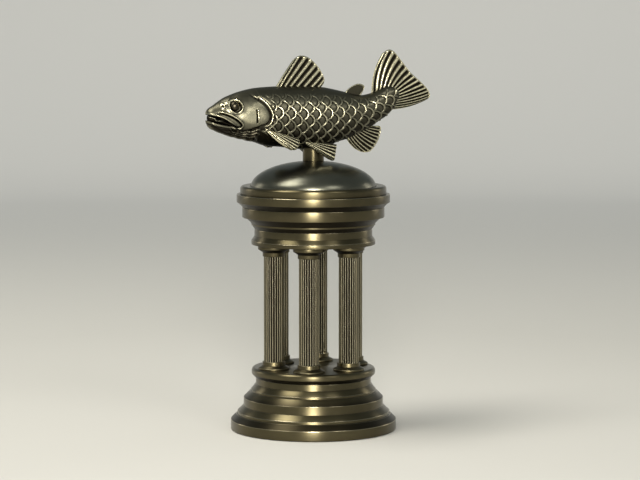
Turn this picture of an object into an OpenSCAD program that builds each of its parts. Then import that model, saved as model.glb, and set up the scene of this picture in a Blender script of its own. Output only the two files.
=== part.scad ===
// Fishing trophy: a trout on a short post, above a round domed temple of six fluted columns.
// Millimetres, +Z up. The origin is the centre of the felt pad's underside, on the temple's axis.
// The fish looks towards -X and a little towards -Y, the front.

/* [Base] */
// Radius of the foot, the widest turned band
foot_r = 65; // [63:0.5:70]
// Height of the foot's upright band
foot_band_h = 7.7; // [7:0.1:12]
// Rise of the slope above the foot's band
foot_slope_h = 4.3; // [3:0.1:5.5]
// Height of the narrow fillet that closes the foot
foot_fillet_h = 2.3; // [1.5:0.1:4]
// How far the middle band stands in from the foot's band
middle_inset = 10.2; // [9:0.1:14]
// Height of the middle band
middle_band_h = 6.6; // [4:0.1:10]
// Run and rise of the flare under the middle band
middle_flare = 4.1; // [2:0.1:5]
// Rise of the slope above the middle band
middle_slope_h = 4.8; // [3.5:0.1:6]
// Height of the fillet that closes the middle tier
middle_fillet_h = 1.7; // [1:0.1:3]
// How far the upper band stands in from the middle band
upper_inset = 9.5; // [8.5:0.1:12]
// Height of the upper band
upper_band_h = 5; // [3:0.1:8]
// Run of the flare under the upper band
upper_flare = 2.8; // [1.5:0.1:3.6]
// Rise of the flare under the upper band
upper_flare_h = 4.1; // [2:0.1:6]
// Height of the floor disc's upright edge
floor_band_h = 2.4; // [1.5:0.1:5]
// Run and rise of the chamfer under the floor disc's edge
floor_flare = 3.2; // [1.5:0.1:5]
// Rise of the rounded upper edge of the floor disc
floor_round = 2.4; // [1:0.1:3]

/* [Columns] */
// Number of columns
column_count = 6; // [5:1:6]
// Margin of the floor disc outside the rings of the columns
column_margin = 2.5; // [1:0.1:4]
// Angle by which the front column stands to the left of the axis
column_turn = 5.6; // [0:0.1:30]
// Radius of a shaft over its fillets
shaft_r = 7.8; // [7.2:0.1:8.4]
// Length of a shaft between its base and its capital
shaft_l = 82.3; // [70:0.1:100]
// Number of flutes round a shaft
flute_count = 24; // [16:1:24]
// Radius of the round cutter that makes a flute
flute_r = 0.82; // [0.5:0.01:0.85]
// Radius of the plain bore of a shaft
shaft_bore_r = 4.4; // [3:0.1:5]
// Radius of the ring at the foot and of the plate at the head of a column
plate_r = 12.2; // [11:0.1:12.6]
// Height of the ring at the foot of a column
base_ring_h = 1.3; // [1:0.1:3]
// Height of the taper above that ring
base_taper_h = 1.8; // [1:0.1:3]
// Radius of the drum below a shaft
base_drum_r = 8.9; // [8.6:0.1:9.5]
// Height of the drum below a shaft
base_drum_h = 3.1; // [2:0.1:5]
// Radius of the drum above a shaft
capital_drum_r = 8.6; // [8.5:0.1:9.2]
// Height of the drum above a shaft
capital_drum_h = 3.2; // [2:0.1:5]
// Height of the taper of a capital
capital_taper_h = 2.3; // [1.5:0.1:4]
// Height of the plate of a capital
capital_plate_h = 2.9; // [2:0.1:5]

/* [Entablature] */
// Margin of the plate over the columns outside their capitals
ring_margin = 2.5; // [1:0.1:4]
// Thickness of the plate over the columns
ring_h = 3.1; // [2:0.1:5]
// How far the neck stands in from that plate
neck_inset = 2.4; // [1:0.1:4]
// Rise of the slope from the plate in to the neck
neck_slope_h = 3.5; // [2:0.1:5]
// Height of the upright neck
neck_h = 5.5; // [3:0.1:9]
// Run of the slope above the neck
bed_flare = 2; // [1:0.1:4]
// Rise of the slope above the neck
bed_flare_h = 3; // [2:0.1:5]
// Height of the fillet above that slope
bed_fillet_h = 1.5; // [1:0.1:3]
// Run and rise of the hollow under the frieze
bed_cove = 4.6; // [3.6:0.1:6]
// How far the frieze stands out from that hollow
frieze_step = 2.5; // [1:0.1:4]
// Height of the frieze
frieze_h = 7.8; // [5:0.1:12]
// Run and rise of the chamfer under the cornice
cornice_flare = 3.9; // [2:0.1:6]
// How far the cornice band stands out from that chamfer
cornice_step = 0.8; // [0.4:0.1:2]
// Height of the cornice band
cornice_band_h = 6.3; // [4:0.1:10]
// How far the rim round the dome stands in from the cornice
rim_inset = 2.8; // [1.5:0.1:4]
// Width of the rim, out to in
rim_w = 8; // [7:0.1:12]
// Height of the rim's upright face
rim_h = 5; // [4:0.1:8]
// Rise of the rim's rounded top
rim_round = 2.3; // [1.5:0.1:3]

/* [Dome and post] */
// Rise of the dome above its springing
dome_rise = 20.8; // [16:0.1:26]
// Thickness of the dome's wall
dome_wall = 2; // [1.6:0.1:3]
// Radius of the post under the fish
post_r = 8.3; // [7:0.1:9]
// Height of the fish's middle line above the dome
fish_lift = 35.3; // [33:0.1:45]

/* [Fish] */
// Length of the body from the snout to the end of the tail's wrist
fish_l = 168; // [160:1:176]
// Distance from the snout back to the post
snout_to_post = 92; // [90:0.5:94]
// Greatest depth of the body
fish_depth = 48.8; // [46:0.2:52]
// Greatest width of the body
fish_width = 33; // [30:0.2:36]
// Angle by which the head is turned to the front
fish_yaw = 27; // [0:1:60]
// Thickness of a fin's web
fin_t = 1.8; // [1.4:0.1:2.4]
// Thickness of a fin over its rays
ray_t = 2.8; // [2.5:0.1:3.4]
// Height of the back fin above the back
dorsal_h = 24.1; // [18:0.1:30]
// Height of the small fat fin in front of the tail
adipose_h = 7; // [5:0.1:9]
// Length of the tail fin from the wrist to its corners
tail_l = 44; // [38:0.5:48]
// Depth of the fin behind the vent
anal_h = 18.1; // [14:0.1:22]
// Depth of a breast fin along its own plane
pectoral_h = 14.5; // [11:0.1:18]
// Depth of a belly fin along its own plane
pelvic_h = 15.7; // [12:0.1:18]
// Radius of an eye
eye_r = 3.9; // [3.2:0.1:4.2]

/* [Hardware] */
// Thickness of the felt pad
felt_t = 1.6; // [1.2:0.1:2]
// Height that the felt stands proud of the foot
felt_proud = 0.4; // [0.2:0.1:0.8]
// Thickness of the steel plate inside the foot
bottom_plate_t = 3; // [2:0.1:4]
// Radius of the six tie rods
rod_r = 2; // [1.5:0.1:2.4]
// Width across flats of a tie rod's nut
nut_af = 7; // [6:0.1:8]
// Height of a tie rod's nut
nut_h = 3.2; // [2.5:0.1:3.6]
// Radius of a tie rod's washer
washer_r = 4.5; // [4.2:0.1:5]
// Thickness of a washer
washer_t = 0.8; // [0.5:0.1:1]
// Radius of the centre stud
stud_r = 3; // [2.5:0.1:3.5]
// Width across flats of the cap nut on the centre stud
cap_nut_af = 10; // [9:0.1:13]
// Height of the cap nut's hexagon
cap_nut_h = 5; // [4:0.1:7]
// Radius of the cap nut's washer
cap_washer_r = 6.2; // [5.9:0.1:8]
// Thickness of the cap nut's washer
cap_washer_t = 1; // [0.8:0.1:1.6]

/* [Fits] */
// Clearance of a screw in its own nut
thread_gap = 0.05; // [0.02:0.01:0.1]
// Clearance of a rod in a plain hole, and of a spigot in its seat
slip_gap = 0.12; // [0.05:0.01:0.2]
// Clearance of a fin in its slot
slot_gap = 0.1; // [0.05:0.01:0.2]

/* [Hidden] */
column_numbers = [for (i = [1:column_count]) i];

turn_fn = 96;
small_fn = 32;
overrun = 1;

// Small steps that part one turned moulding from the next
nick = 0.4;
shoulder = 0.9;

// Walls and seats of the hollow castings
wall = 2.8;
foot_wall = 9;
felt_margin = 4;
middle_seat = 3.8;
upper_seat = 0.5;
seat_step = 0.5;
lip_h = 1.2;
lip_w = 1.5;
frieze_wall = 6.1;
dome_seat_depth = 1.9;
dome_skirt = 2.5;
dome_ledge = 5.2;
rim_flat = 1.8;
rim_dip = 1.5;

// Screw ends that stand past a nut
thread_end = 0.5;

// Levels, from the felt up
z_brass = felt_proud;
z_foot_band = z_brass + foot_band_h;
z_foot_slope = z_foot_band + foot_slope_h;
z_foot_top = z_foot_slope + foot_fillet_h;
z_middle_flare = z_foot_top + middle_flare;
z_middle_band = z_middle_flare + middle_band_h;
z_middle_slope = z_middle_band + middle_slope_h;
z_middle_top = z_middle_slope + middle_fillet_h;
z_upper_flare = z_middle_top + upper_flare_h;
z_upper_top = z_upper_flare + upper_band_h;
z_floor_flare = z_upper_top + floor_flare;
z_floor_band = z_floor_flare + floor_band_h;
z_floor = z_floor_band + floor_round;
z_shaft = z_floor + base_ring_h + base_taper_h + base_drum_h;
z_capital = z_shaft + shaft_l;
z_soffit = z_capital + capital_drum_h + capital_taper_h + capital_plate_h;
z_ring = z_soffit + ring_h;
z_neck = z_ring + neck_slope_h;
z_neck_top = z_neck + neck_h;
z_bed_flare = z_neck_top + bed_flare_h;
z_bed_fillet = z_bed_flare + bed_fillet_h;
z_bed_top = z_bed_fillet + bed_cove;
z_frieze_top = z_bed_top + frieze_h;
z_cornice_flare = z_frieze_top + cornice_flare;
z_cornice_top = z_cornice_flare + cornice_band_h;
z_rim_band = z_cornice_top + rim_h;
z_rim_top = z_rim_band + rim_round;
z_dome = z_rim_band;
z_dome_seat = z_dome - dome_seat_depth;

// Radii, each from the band below or beside it
middle_r = foot_r - middle_inset;
upper_r = middle_r - upper_inset;
floor_r = upper_r + floor_flare;
column_circle_r = floor_r - column_margin - plate_r;
ring_r = column_circle_r + plate_r + ring_margin;
neck_r = ring_r - neck_inset;
bed_fillet_r = neck_r + bed_flare + nick;
bed_top_r = bed_fillet_r + bed_cove;
frieze_r = bed_top_r + frieze_step;
cornice_flare_r = frieze_r - nick + cornice_flare;
cornice_r = cornice_flare_r + cornice_step;
rim_r = cornice_r - rim_inset;
dome_r = rim_r - rim_w;

// Seats and bores, each from the tier that stands in it
foot_fillet_r = middle_r + nick + middle_flare + seat_step;
middle_fillet_r = upper_r + nick + upper_flare + seat_step;
foot_bore_r = foot_r - foot_wall;
foot_top_bore_r = middle_r - middle_seat;
middle_lip_r = foot_top_bore_r - slip_gap;
middle_bore_r = middle_lip_r - lip_w;
middle_top_bore_r = upper_r - upper_seat;
upper_lip_r = middle_top_bore_r - slip_gap;
upper_bore_r = upper_lip_r - lip_w;
floor_lip_r = upper_bore_r - slip_gap;
neck_bore_r = neck_r - wall - slip_gap;
bed_lip_r = neck_bore_r - slip_gap;
bed_bore_r = bed_lip_r - lip_w;
frieze_bore_r = frieze_r - frieze_wall;
bed_top_lip_r = frieze_bore_r - slip_gap;
cornice_lip_r = frieze_bore_r - slip_gap;
cornice_bore_r = cornice_lip_r - lip_w;
rim_lip_r = cornice_bore_r - slip_gap;
dome_seat_r = dome_r + slip_gap;
rim_bore_r = dome_seat_r - dome_ledge;

// The steel plate, its screws and the felt
felt_r = foot_r - felt_margin;
plate_seat_z = felt_t + nut_h + washer_t + thread_end + overrun + bottom_plate_t;
rod_hole_r = rod_r + slip_gap;
rod_low_z = plate_seat_z - bottom_plate_t - washer_t - nut_h - thread_end;
rod_high_z = z_ring + washer_t + nut_h + thread_end;
stud_hole_r = stud_r + slip_gap;
cap_nut_z = z_soffit - cap_washer_t;
stud_low_z = cap_nut_z - cap_nut_h;

// The dome's flat spot, where the post stands
post_margin = 0.3;
flat_r = post_r + post_margin;
z_dome_flat = z_dome + dome_rise * sqrt(1 - pow(flat_r / dome_r, 2));
dome_steps = 22;

// Fish: the body is lofted through stations along its middle line. Each row is
// [distance from the snout, height, half depth above, half depth below, half width, tilt].
// The first two are shares of fish_l, the depths of fish_depth, the width of fish_width.
fish_z = z_dome_flat + fish_lift;
trunk_station_shares = [
    [0.238, 0.010, 0.423, 0.423, 0.448, 0],
    [0.298, 0.003, 0.464, 0.464, 0.482, 0],
    [0.369, 0.001, 0.480, 0.480, 0.494, 0],
    [0.476, -0.007, 0.500, 0.500, 0.500, 0],
    [0.583, -0.006, 0.482, 0.482, 0.479, 0],
    [0.643, -0.002, 0.439, 0.439, 0.439, 2],
    [0.704, 0.002, 0.385, 0.385, 0.388, 5],
    [0.769, 0.011, 0.320, 0.320, 0.315, 14],
    [0.832, 0.026, 0.260, 0.260, 0.248, 27],
    [0.885, 0.046, 0.230, 0.230, 0.194, 34],
    [0.933, 0.073, 0.197, 0.197, 0.152, 33],
    [0.962, 0.096, 0.154, 0.154, 0.121, 29],
    [0.986, 0.105, 0.090, 0.090, 0.085, 28],
    [0.995, 0.110, 0.020, 0.020, 0.021, 28]];
head_station_shares = [
    [0.000, 0.021, 0.016, 0.016, 0.042, 0],
    [0.008, 0.018, 0.068, 0.018, 0.109, 0],
    [0.028, 0.014, 0.129, 0.020, 0.164, 0],
    [0.065, 0.005, 0.244, 0.020, 0.224, 0],
    [0.107, -0.021, 0.412, 0.020, 0.291, 0],
    [0.137, -0.035, 0.500, 0.022, 0.333, 0],
    [0.141, 0.010, 0.345, 0.345, 0.345, 0],
    [0.190, 0.011, 0.389, 0.389, 0.403, 0],
    [0.238, 0.010, 0.423, 0.423, 0.448, 0]];
jaw_station_shares = [
    [0.000, -0.023, 0.014, 0.014, 0.042, 0],
    [0.009, -0.022, 0.016, 0.049, 0.103, 0],
    [0.030, -0.025, 0.016, 0.086, 0.158, 0],
    [0.065, -0.034, 0.016, 0.111, 0.218, 0],
    [0.107, -0.044, 0.016, 0.125, 0.282, 0],
    [0.136, -0.052, 0.016, 0.129, 0.327, 0]];
trunk_steps = 2;
head_steps = 3;
ring_sides = 24;

// Where the fins stand, as shares of the way along the trunk's stations, and their outlines:
// along the root as shares of its length, away from it as shares of the fin's height.
dorsal_place_shares = [0.135, 0.296];
dorsal_tip_shares = [[0.23, 0.48], [0.50, 0.95], [0.59, 1], [0.71, 0.98], [0.86, 0.85],
    [1.02, 0.59], [1.12, 0.40], [1.17, 0.20], [1.15, 0.09]];
adipose_place_shares = [0.491, 0.608];
adipose_tip_shares = [[0.33, 0.66], [0.71, 0.97], [1, 1.02], [1.26, 0.92], [1.22, 0.5]];
anal_place_shares = [0.465, 0.594];
anal_tip_shares = [[0.16, 0.49], [0.40, 0.85], [0.65, 0.98], [0.79, 1], [1.06, 0.82],
    [1.22, 0.63], [1.34, 0.35], [1.38, 0.20]];
pectoral_place_shares = [0.035, 0.085];
pectoral_tip_shares = [[1.3, 0.62], [2, 0.85], [2.8, 1], [3.33, 0.98], [3.8, 0.69],
    [4.03, 0.39], [3.9, 0.23]];
pelvic_place_shares = [0.2215, 0.2415];
pelvic_tip_shares = [[0.95, 0.38], [3.5, 0.82], [4.7, 1], [5.1, 0.98], [5.8, 0.39], [6.2, 0.10]];
// The tail fin's outline: angle from its own middle line, and share of tail_l from the wrist
tail_outline_shares = [[96, 0.093], [89, 0.255], [64.5, 0.455], [56, 0.58], [49.5, 0.715],
    [45.3, 0.82], [37.6, 0.94], [34, 0.955], [30.2, 0.95], [16.3, 0.84], [-3.8, 0.78],
    [-19.8, 0.855], [-32, 0.96], [-38.9, 0.993], [-42, 0.977], [-47.4, 0.81],
    [-59.9, 0.515], [-81.2, 0.285], [-80.6, 0.16]];
tail_place_share = 0.731;
tail_axis_angle = 46;
tail_ray_start_share = 0.43;
tail_ray_first_angle = 58;
tail_ray_last_angle = -52;
pectoral_ring_angle = -28;
pelvic_ring_angle = -49;
pectoral_splay = 35;
pelvic_splay = 28;
dorsal_rays = 8;
anal_rays = 10;
pectoral_rays = 7;
pelvic_rays = 7;
tail_rays = 14;
ray_w = 1.1;
ray_root_w = 0.6;
ray_lift = 1.9;
ray_reach_share = 0.95;
tenon_h = 5;
socket_h = 5.3;
stud_grip = 10;
spigot_r = 6;
spigot_l = 6;
// The eyes: place of the centre, as shares of fish_l and fish_depth, and depth of the seat
eye_place_shares = [0.126, 0.176];
eye_seat_share = 0.165;
eye_proud = 1.9;
eye_shank = 2.7;
eye_steps = 5;

// Curves
function blend4(a, b, c, d, t) = 0.5 * (2 * b + (c - a) * t + (2 * a - 5 * b + 4 * c - d) * t * t
    + (3 * b - a - 3 * c + d) * t * t * t);
function row_at(rows, s) = let (n = len(rows) - 1, i = min(floor(s * n), n - 1), t = s * n - i)
    blend4(rows[max(i - 1, 0)], rows[i], rows[i + 1], rows[min(i + 2, n)], t);
function sized(row) = [row[0] * fish_l - snout_to_post, row[1] * fish_l, row[2] * fish_depth,
    row[3] * fish_depth, row[4] * fish_width, row[5]];
function ring_point(row, a) = let (q = sized(row), n = (sin(a) > 0 ? q[2] : q[3]) * sin(a))
    [q[0] - n * sin(q[5]), q[4] * cos(a), q[1] + n * cos(q[5])];
function trunk_point(s, a) = ring_point(row_at(trunk_station_shares, s), a);
function arc(c, rx, rz, a0, a1, n) =
    [for (i = [0:n]) let (a = a0 + (a1 - a0) * i / n) [c[0] + rx * cos(a), c[1] + rz * sin(a)]];
function along(points, t) = let (n = len(points) - 1, i = min(floor(t * n), n - 1))
    points[i] + (points[i + 1] - points[i]) * (t * n - i);

module turned(outline) rotate_extrude($fn = turn_fn) polygon(outline);

module loft(rows, steps) {
    n = len(rows) - 1;
    count = n * steps;
    rings = [for (i = [0:count]) row_at(rows, i / count)];
    points = [for (r = rings, k = [0:ring_sides - 1]) ring_point(r, 360 * k / ring_sides)];
    function at(i, k) = i * ring_sides + k % ring_sides;
    sides = [for (i = [0:count - 1], k = [0:ring_sides - 1])
        each [[at(i, k), at(i + 1, k), at(i + 1, k + 1)], [at(i, k), at(i + 1, k + 1), at(i, k + 1)]]];
    front = [[for (k = [0:ring_sides - 1]) at(0, k)]];
    back = [[for (k = [0:ring_sides - 1]) at(count, ring_sides - 1 - k)]];
    polyhedron(points, concat(sides, front, back));
}

module on_columns() for (i = column_numbers) at_column(i) children();
module at_column(i) rotate([0, 0, -column_turn + (i - 1) * 360 / column_count])
    translate([0, -column_circle_r, 0]) children();

module rod_holes(z, h) on_columns() translate([0, 0, z - overrun])
    cylinder(r = rod_hole_r, h = h + 2 * overrun, $fn = small_fn);

// Base
module felt_pad() color("darkslategray") cylinder(r = felt_r, h = felt_t, $fn = turn_fn);

module bottom_plate() color("gray") difference() {
    translate([0, 0, plate_seat_z - bottom_plate_t])
        cylinder(r = foot_bore_r - slip_gap, h = bottom_plate_t, $fn = turn_fn);
    rod_holes(plate_seat_z - bottom_plate_t, bottom_plate_t);
}

module base_foot() color("darkkhaki") turned([
    [felt_r + slip_gap, z_brass], [foot_r, z_brass], [foot_r, z_foot_band],
    [foot_fillet_r + shoulder, z_foot_slope], [foot_fillet_r, z_foot_slope],
    [foot_fillet_r, z_foot_top], [foot_top_bore_r, z_foot_top],
    [foot_top_bore_r, plate_seat_z], [foot_bore_r, plate_seat_z],
    [foot_bore_r, felt_t], [felt_r + slip_gap, felt_t]]);

module base_middle() color("darkkhaki") turned([
    [middle_lip_r, z_foot_top], [middle_r + nick + middle_flare, z_foot_top],
    [middle_r + nick, z_middle_flare], [middle_r, z_middle_flare],
    [middle_r, z_middle_band], [middle_fillet_r + shoulder, z_middle_slope],
    [middle_fillet_r, z_middle_slope], [middle_fillet_r, z_middle_top],
    [middle_top_bore_r, z_middle_top], [middle_top_bore_r, z_middle_band],
    [middle_bore_r, z_middle_flare], [middle_bore_r, z_foot_top - lip_h],
    [middle_lip_r, z_foot_top - lip_h]]);

module base_upper() color("darkkhaki") turned([
    [upper_lip_r, z_middle_top], [upper_r + nick + upper_flare, z_middle_top],
    [upper_r + nick, z_upper_flare], [upper_r, z_upper_flare],
    [upper_r, z_upper_top], [upper_bore_r, z_upper_top],
    [upper_bore_r, z_middle_top - lip_h], [upper_lip_r, z_middle_top - lip_h]]);

module floor_disc() color("darkkhaki") difference() {
    turned(concat([[0, z_upper_top - lip_h], [floor_lip_r, z_upper_top - lip_h],
        [floor_lip_r, z_upper_top], [upper_r, z_upper_top],
        [floor_r, z_floor_flare]],
        arc([floor_r - floor_round, z_floor_band], floor_round, floor_round, 0, 90, 5),
        [[0, z_floor]]));
    rod_holes(z_upper_top - lip_h, z_floor - z_upper_top + lip_h);
}

// Columns
module column_base(i) color("tan") at_column(i) turned([
    [rod_hole_r, z_floor], [plate_r, z_floor], [plate_r, z_floor + base_ring_h],
    [base_drum_r, z_floor + base_ring_h + base_taper_h], [base_drum_r, z_shaft],
    [rod_hole_r, z_shaft]]);

module column_shaft(i) color("khaki") at_column(i) translate([0, 0, z_shaft]) difference() {
    cylinder(r = shaft_r, h = shaft_l, $fn = turn_fn);
    translate([0, 0, -overrun]) cylinder(r = shaft_bore_r, h = shaft_l + 2 * overrun, $fn = small_fn);
    for (k = [0:flute_count - 1]) rotate([0, 0, 360 * k / flute_count])
        translate([shaft_r + nick / 2, 0, -overrun])
            cylinder(r = flute_r, h = shaft_l + 2 * overrun, $fn = small_fn);
}

module column_capital(i) color("tan") at_column(i) turned([
    [rod_hole_r, z_capital], [capital_drum_r, z_capital],
    [capital_drum_r, z_capital + capital_drum_h],
    [plate_r, z_capital + capital_drum_h + capital_taper_h], [plate_r, z_soffit],
    [rod_hole_r, z_soffit]]);

// Rods, nuts and washers that clamp the columns
module tie_rods() color("silver") on_columns() translate([0, 0, rod_low_z])
    cylinder(r = rod_r, h = rod_high_z - rod_low_z, $fn = small_fn);

module nut(af, h, r) difference() {
    cylinder(r = af / 2 / cos(30), h = h, $fn = 6);
    translate([0, 0, -overrun]) cylinder(r = r, h = h + 2 * overrun, $fn = small_fn);
}

module washer(r_out, r_in, h) difference() {
    cylinder(r = r_out, h = h, $fn = small_fn);
    translate([0, 0, -overrun]) cylinder(r = r_in, h = h + 2 * overrun, $fn = small_fn);
}

module tie_rod_nuts() color("silver") on_columns() {
    translate([0, 0, rod_low_z + thread_end]) nut(nut_af, nut_h, rod_r + thread_gap);
    translate([0, 0, z_ring + washer_t]) nut(nut_af, nut_h, rod_r + thread_gap);
}

module tie_rod_washers() color("gainsboro") on_columns() {
    translate([0, 0, plate_seat_z - bottom_plate_t - washer_t]) washer(washer_r, rod_hole_r, washer_t);
    translate([0, 0, z_ring]) washer(washer_r, rod_hole_r, washer_t);
}

// Entablature
module soffit_plate() color("darkkhaki") difference() {
    turned([[stud_hole_r, z_soffit], [ring_r, z_soffit], [ring_r, z_ring], [bed_lip_r, z_ring],
        [bed_lip_r, z_ring + lip_h], [bed_bore_r, z_ring + lip_h], [bed_bore_r, z_ring],
        [stud_hole_r, z_ring]]);
    rod_holes(z_soffit, ring_h);
}

module architrave() color("darkkhaki") turned([
    [neck_bore_r, z_ring], [ring_r, z_ring], [neck_r, z_neck], [neck_r, z_neck_top],
    [neck_bore_r, z_neck_top]]);

module bed_moulding() color("darkkhaki") turned([
    [bed_lip_r, z_neck_top], [neck_r, z_neck_top], [neck_r + bed_flare, z_bed_flare],
    [bed_fillet_r, z_bed_flare], [bed_fillet_r, z_bed_fillet],
    [bed_top_r, z_bed_top], [bed_top_lip_r, z_bed_top],
    [bed_top_lip_r, z_bed_top + lip_h], [bed_top_lip_r - lip_w, z_bed_top + lip_h],
    [bed_top_lip_r - lip_w, z_bed_top - wall], [bed_bore_r, z_bed_fillet - wall],
    [bed_bore_r, z_neck_top - lip_h], [bed_lip_r, z_neck_top - lip_h]]);

module frieze() color("darkkhaki") turned([
    [frieze_bore_r, z_bed_top], [frieze_r, z_bed_top], [frieze_r, z_frieze_top],
    [frieze_bore_r, z_frieze_top]]);

module cornice() color("darkkhaki") turned([
    [cornice_lip_r, z_frieze_top], [frieze_r - nick, z_frieze_top],
    [cornice_flare_r, z_cornice_flare], [cornice_r, z_cornice_flare],
    [cornice_r, z_cornice_top], [cornice_bore_r, z_cornice_top],
    [cornice_bore_r, z_frieze_top - lip_h], [cornice_lip_r, z_frieze_top - lip_h]]);

module cornice_rim() color("darkkhaki") turned(concat(
    [[rim_lip_r, z_cornice_top], [rim_r, z_cornice_top]],
    arc([rim_r - rim_round, z_rim_band], rim_round, rim_round, 0, 90, 6),
    [[rim_r - rim_round - rim_flat, z_rim_top], [dome_seat_r, z_rim_top - rim_dip],
    [dome_seat_r, z_dome_seat], [rim_bore_r, z_dome_seat],
    [rim_bore_r, z_cornice_top - lip_h], [rim_lip_r, z_cornice_top - lip_h]]));

// Dome, post and the stud that clamps them to the soffit
module dome() color("slategray") turned(concat(
    [[dome_r - dome_skirt, z_dome_seat], [dome_r, z_dome_seat]],
    arc([0, z_dome], dome_r, dome_rise, 0, acos(flat_r / dome_r), dome_steps),
    [[stud_hole_r, z_dome_flat]],
    arc([0, z_dome], dome_r - dome_skirt, dome_rise - dome_wall,
        acos(stud_hole_r / (dome_r - dome_skirt)), 0, dome_steps)));

belly_w = -trunk_point(0.3, -90)[2];
seat_z = fish_z - belly_w + socket_h;

module centre_stud() color("silver") translate([0, 0, stud_low_z])
    cylinder(r = stud_r, h = seat_z + stud_grip - stud_low_z, $fn = small_fn);

module cap_nut() color("goldenrod") translate([0, 0, cap_nut_z - cap_nut_h]) difference() {
    union() {
        cylinder(r = cap_nut_af / 2 / cos(30), h = cap_nut_h, $fn = 6);
        intersection() {
            sphere(r = cap_nut_af / 2, $fn = small_fn);
            translate([0, 0, -cap_nut_af]) cylinder(r = cap_nut_af, h = cap_nut_af, $fn = small_fn);
        }
    }
    translate([0, 0, -thread_end])
        cylinder(r = stud_r + thread_gap, h = cap_nut_h + thread_end + overrun, $fn = small_fn);
}

module cap_nut_washer() color("gainsboro") translate([0, 0, cap_nut_z])
    washer(cap_washer_r, stud_hole_r, cap_washer_t);

module post() color("goldenrod") translate([0, 0, z_dome_flat]) difference() {
    cylinder(r = post_r, h = seat_z - z_dome_flat, $fn = turn_fn);
    translate([0, 0, -overrun])
        cylinder(r = stud_hole_r, h = seat_z - z_dome_flat + 2 * overrun, $fn = small_fn);
}

// Fish
module on_post() translate([0, 0, fish_z]) rotate([0, 0, fish_yaw]) children();

// A fin's frame: X runs back along its root, Y points away from the body
module at_root(p, q, roll) translate(p) rotate([0, -atan2(q[2] - p[2], q[0] - p[0]), 0])
    rotate([roll, 0, 0]) children();

function tips(shares, l, h) = [for (p = shares) [p[0] * l, p[1] * h]];
function blade(shares, l, h) = concat([[0, -tenon_h], [0, 0]], tips(shares, l, h),
    [[l, 0], [l, -tenon_h]]);

module plate(outline, t) linear_extrude(t, center = true) polygon(outline);

module ray(p, q) {
    side = [p[1] - q[1], q[0] - p[0]] / norm(q - p);
    plate([p + side * ray_root_w / 2, q + side * ray_w / 2,
        q - side * ray_w / 2, p - side * ray_root_w / 2], ray_t);
}

module fin(shares, l, h, rays) {
    plate(blade(shares, l, h), fin_t);
    if (rays > 0) for (i = [0:rays - 1]) {
        t = (i + 0.5) / rays;
        p = [l * t, ray_lift];
        ray(p, p + (along(tips(shares, l, h), t) - p) * ray_reach_share);
    }
}

module slot(outline) linear_extrude(fin_t + 2 * slot_gap, center = true)
    offset(delta = slot_gap) polygon(outline);

module fin_slot(shares, l, h) slot(blade(shares, l, h));

dorsal_root = [for (s = dorsal_place_shares) trunk_point(s, 90)];
adipose_root = [for (s = adipose_place_shares) trunk_point(s, 90)];
anal_root = [for (s = anal_place_shares) trunk_point(s, -90)];
function side_root(places, a) = [for (s = places) trunk_point(s, a)];
left_pectoral_root = side_root(pectoral_place_shares, 180 - pectoral_ring_angle);
right_pectoral_root = side_root(pectoral_place_shares, pectoral_ring_angle);
left_pelvic_root = side_root(pelvic_place_shares, 180 - pelvic_ring_angle);
right_pelvic_root = side_root(pelvic_place_shares, pelvic_ring_angle);
function span(root) = norm(root[1] - root[0]);

module at_dorsal() at_root(dorsal_root[0], dorsal_root[1], 90) children();
module at_adipose() at_root(adipose_root[0], adipose_root[1], 90) children();
module at_anal() at_root(anal_root[0], anal_root[1], -90) children();
module at_left_pectoral() at_root(left_pectoral_root[0], left_pectoral_root[1],
    -90 - pectoral_splay) children();
module at_right_pectoral() at_root(right_pectoral_root[0], right_pectoral_root[1],
    -90 + pectoral_splay) children();
module at_left_pelvic() at_root(left_pelvic_root[0], left_pelvic_root[1],
    -90 - pelvic_splay) children();
module at_right_pelvic() at_root(right_pelvic_root[0], right_pelvic_root[1],
    -90 + pelvic_splay) children();

tail_outline = [for (p = tail_outline_shares) tail_l * p[1] * [cos(p[0]), sin(p[0])]];
module at_tail() translate(row_middle(tail_place_share)) rotate([90, -tail_axis_angle, 0])
    children();
function row_middle(s) = let (q = sized(row_at(trunk_station_shares, s))) [q[0], 0, q[1]];

module fish_trunk() color("olive") on_post() difference() {
    union() {
        loft(trunk_station_shares, trunk_steps);
        at_neck(-spigot_l) cylinder(r = spigot_r, h = 2 * spigot_l, $fn = small_fn);
    }
    at_dorsal() fin_slot(dorsal_tip_shares, span(dorsal_root), dorsal_h);
    at_adipose() fin_slot(adipose_tip_shares, span(adipose_root), adipose_h);
    at_anal() fin_slot(anal_tip_shares, span(anal_root), anal_h);
    at_left_pectoral() fin_slot(pectoral_tip_shares, span(left_pectoral_root), pectoral_h);
    at_right_pectoral() fin_slot(pectoral_tip_shares, span(right_pectoral_root), pectoral_h);
    at_left_pelvic() fin_slot(pelvic_tip_shares, span(left_pelvic_root), pelvic_h);
    at_right_pelvic() fin_slot(pelvic_tip_shares, span(right_pelvic_root), pelvic_h);
    at_tail() slot(tail_outline);
    translate([0, 0, -belly_w - fish_depth])
        cylinder(r = post_r + slip_gap, h = socket_h + fish_depth, $fn = turn_fn);
    translate([0, 0, -belly_w])
        cylinder(r = stud_r + thread_gap, h = socket_h + stud_grip + overrun, $fn = small_fn);
}

// The neck is where the head meets the trunk; X runs back from it
module at_neck(x) translate(row_middle(0)) rotate([0, 90, 0]) translate([0, 0, x]) children();

module fish_head() color("olive") on_post() difference() {
    loft(head_station_shares, head_steps);
    at_neck(-spigot_l - overrun / 2)
        cylinder(r = spigot_r + slip_gap, h = spigot_l + overrun, $fn = small_fn);
    for (side = [-1, 1]) at_eye(side) translate([0, 0, -eye_shank - slip_gap])
        cylinder(r = eye_r + slip_gap, h = fish_width, $fn = small_fn);
}

module lower_jaw() color("olive") on_post() loft(jaw_station_shares, head_steps);

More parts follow.
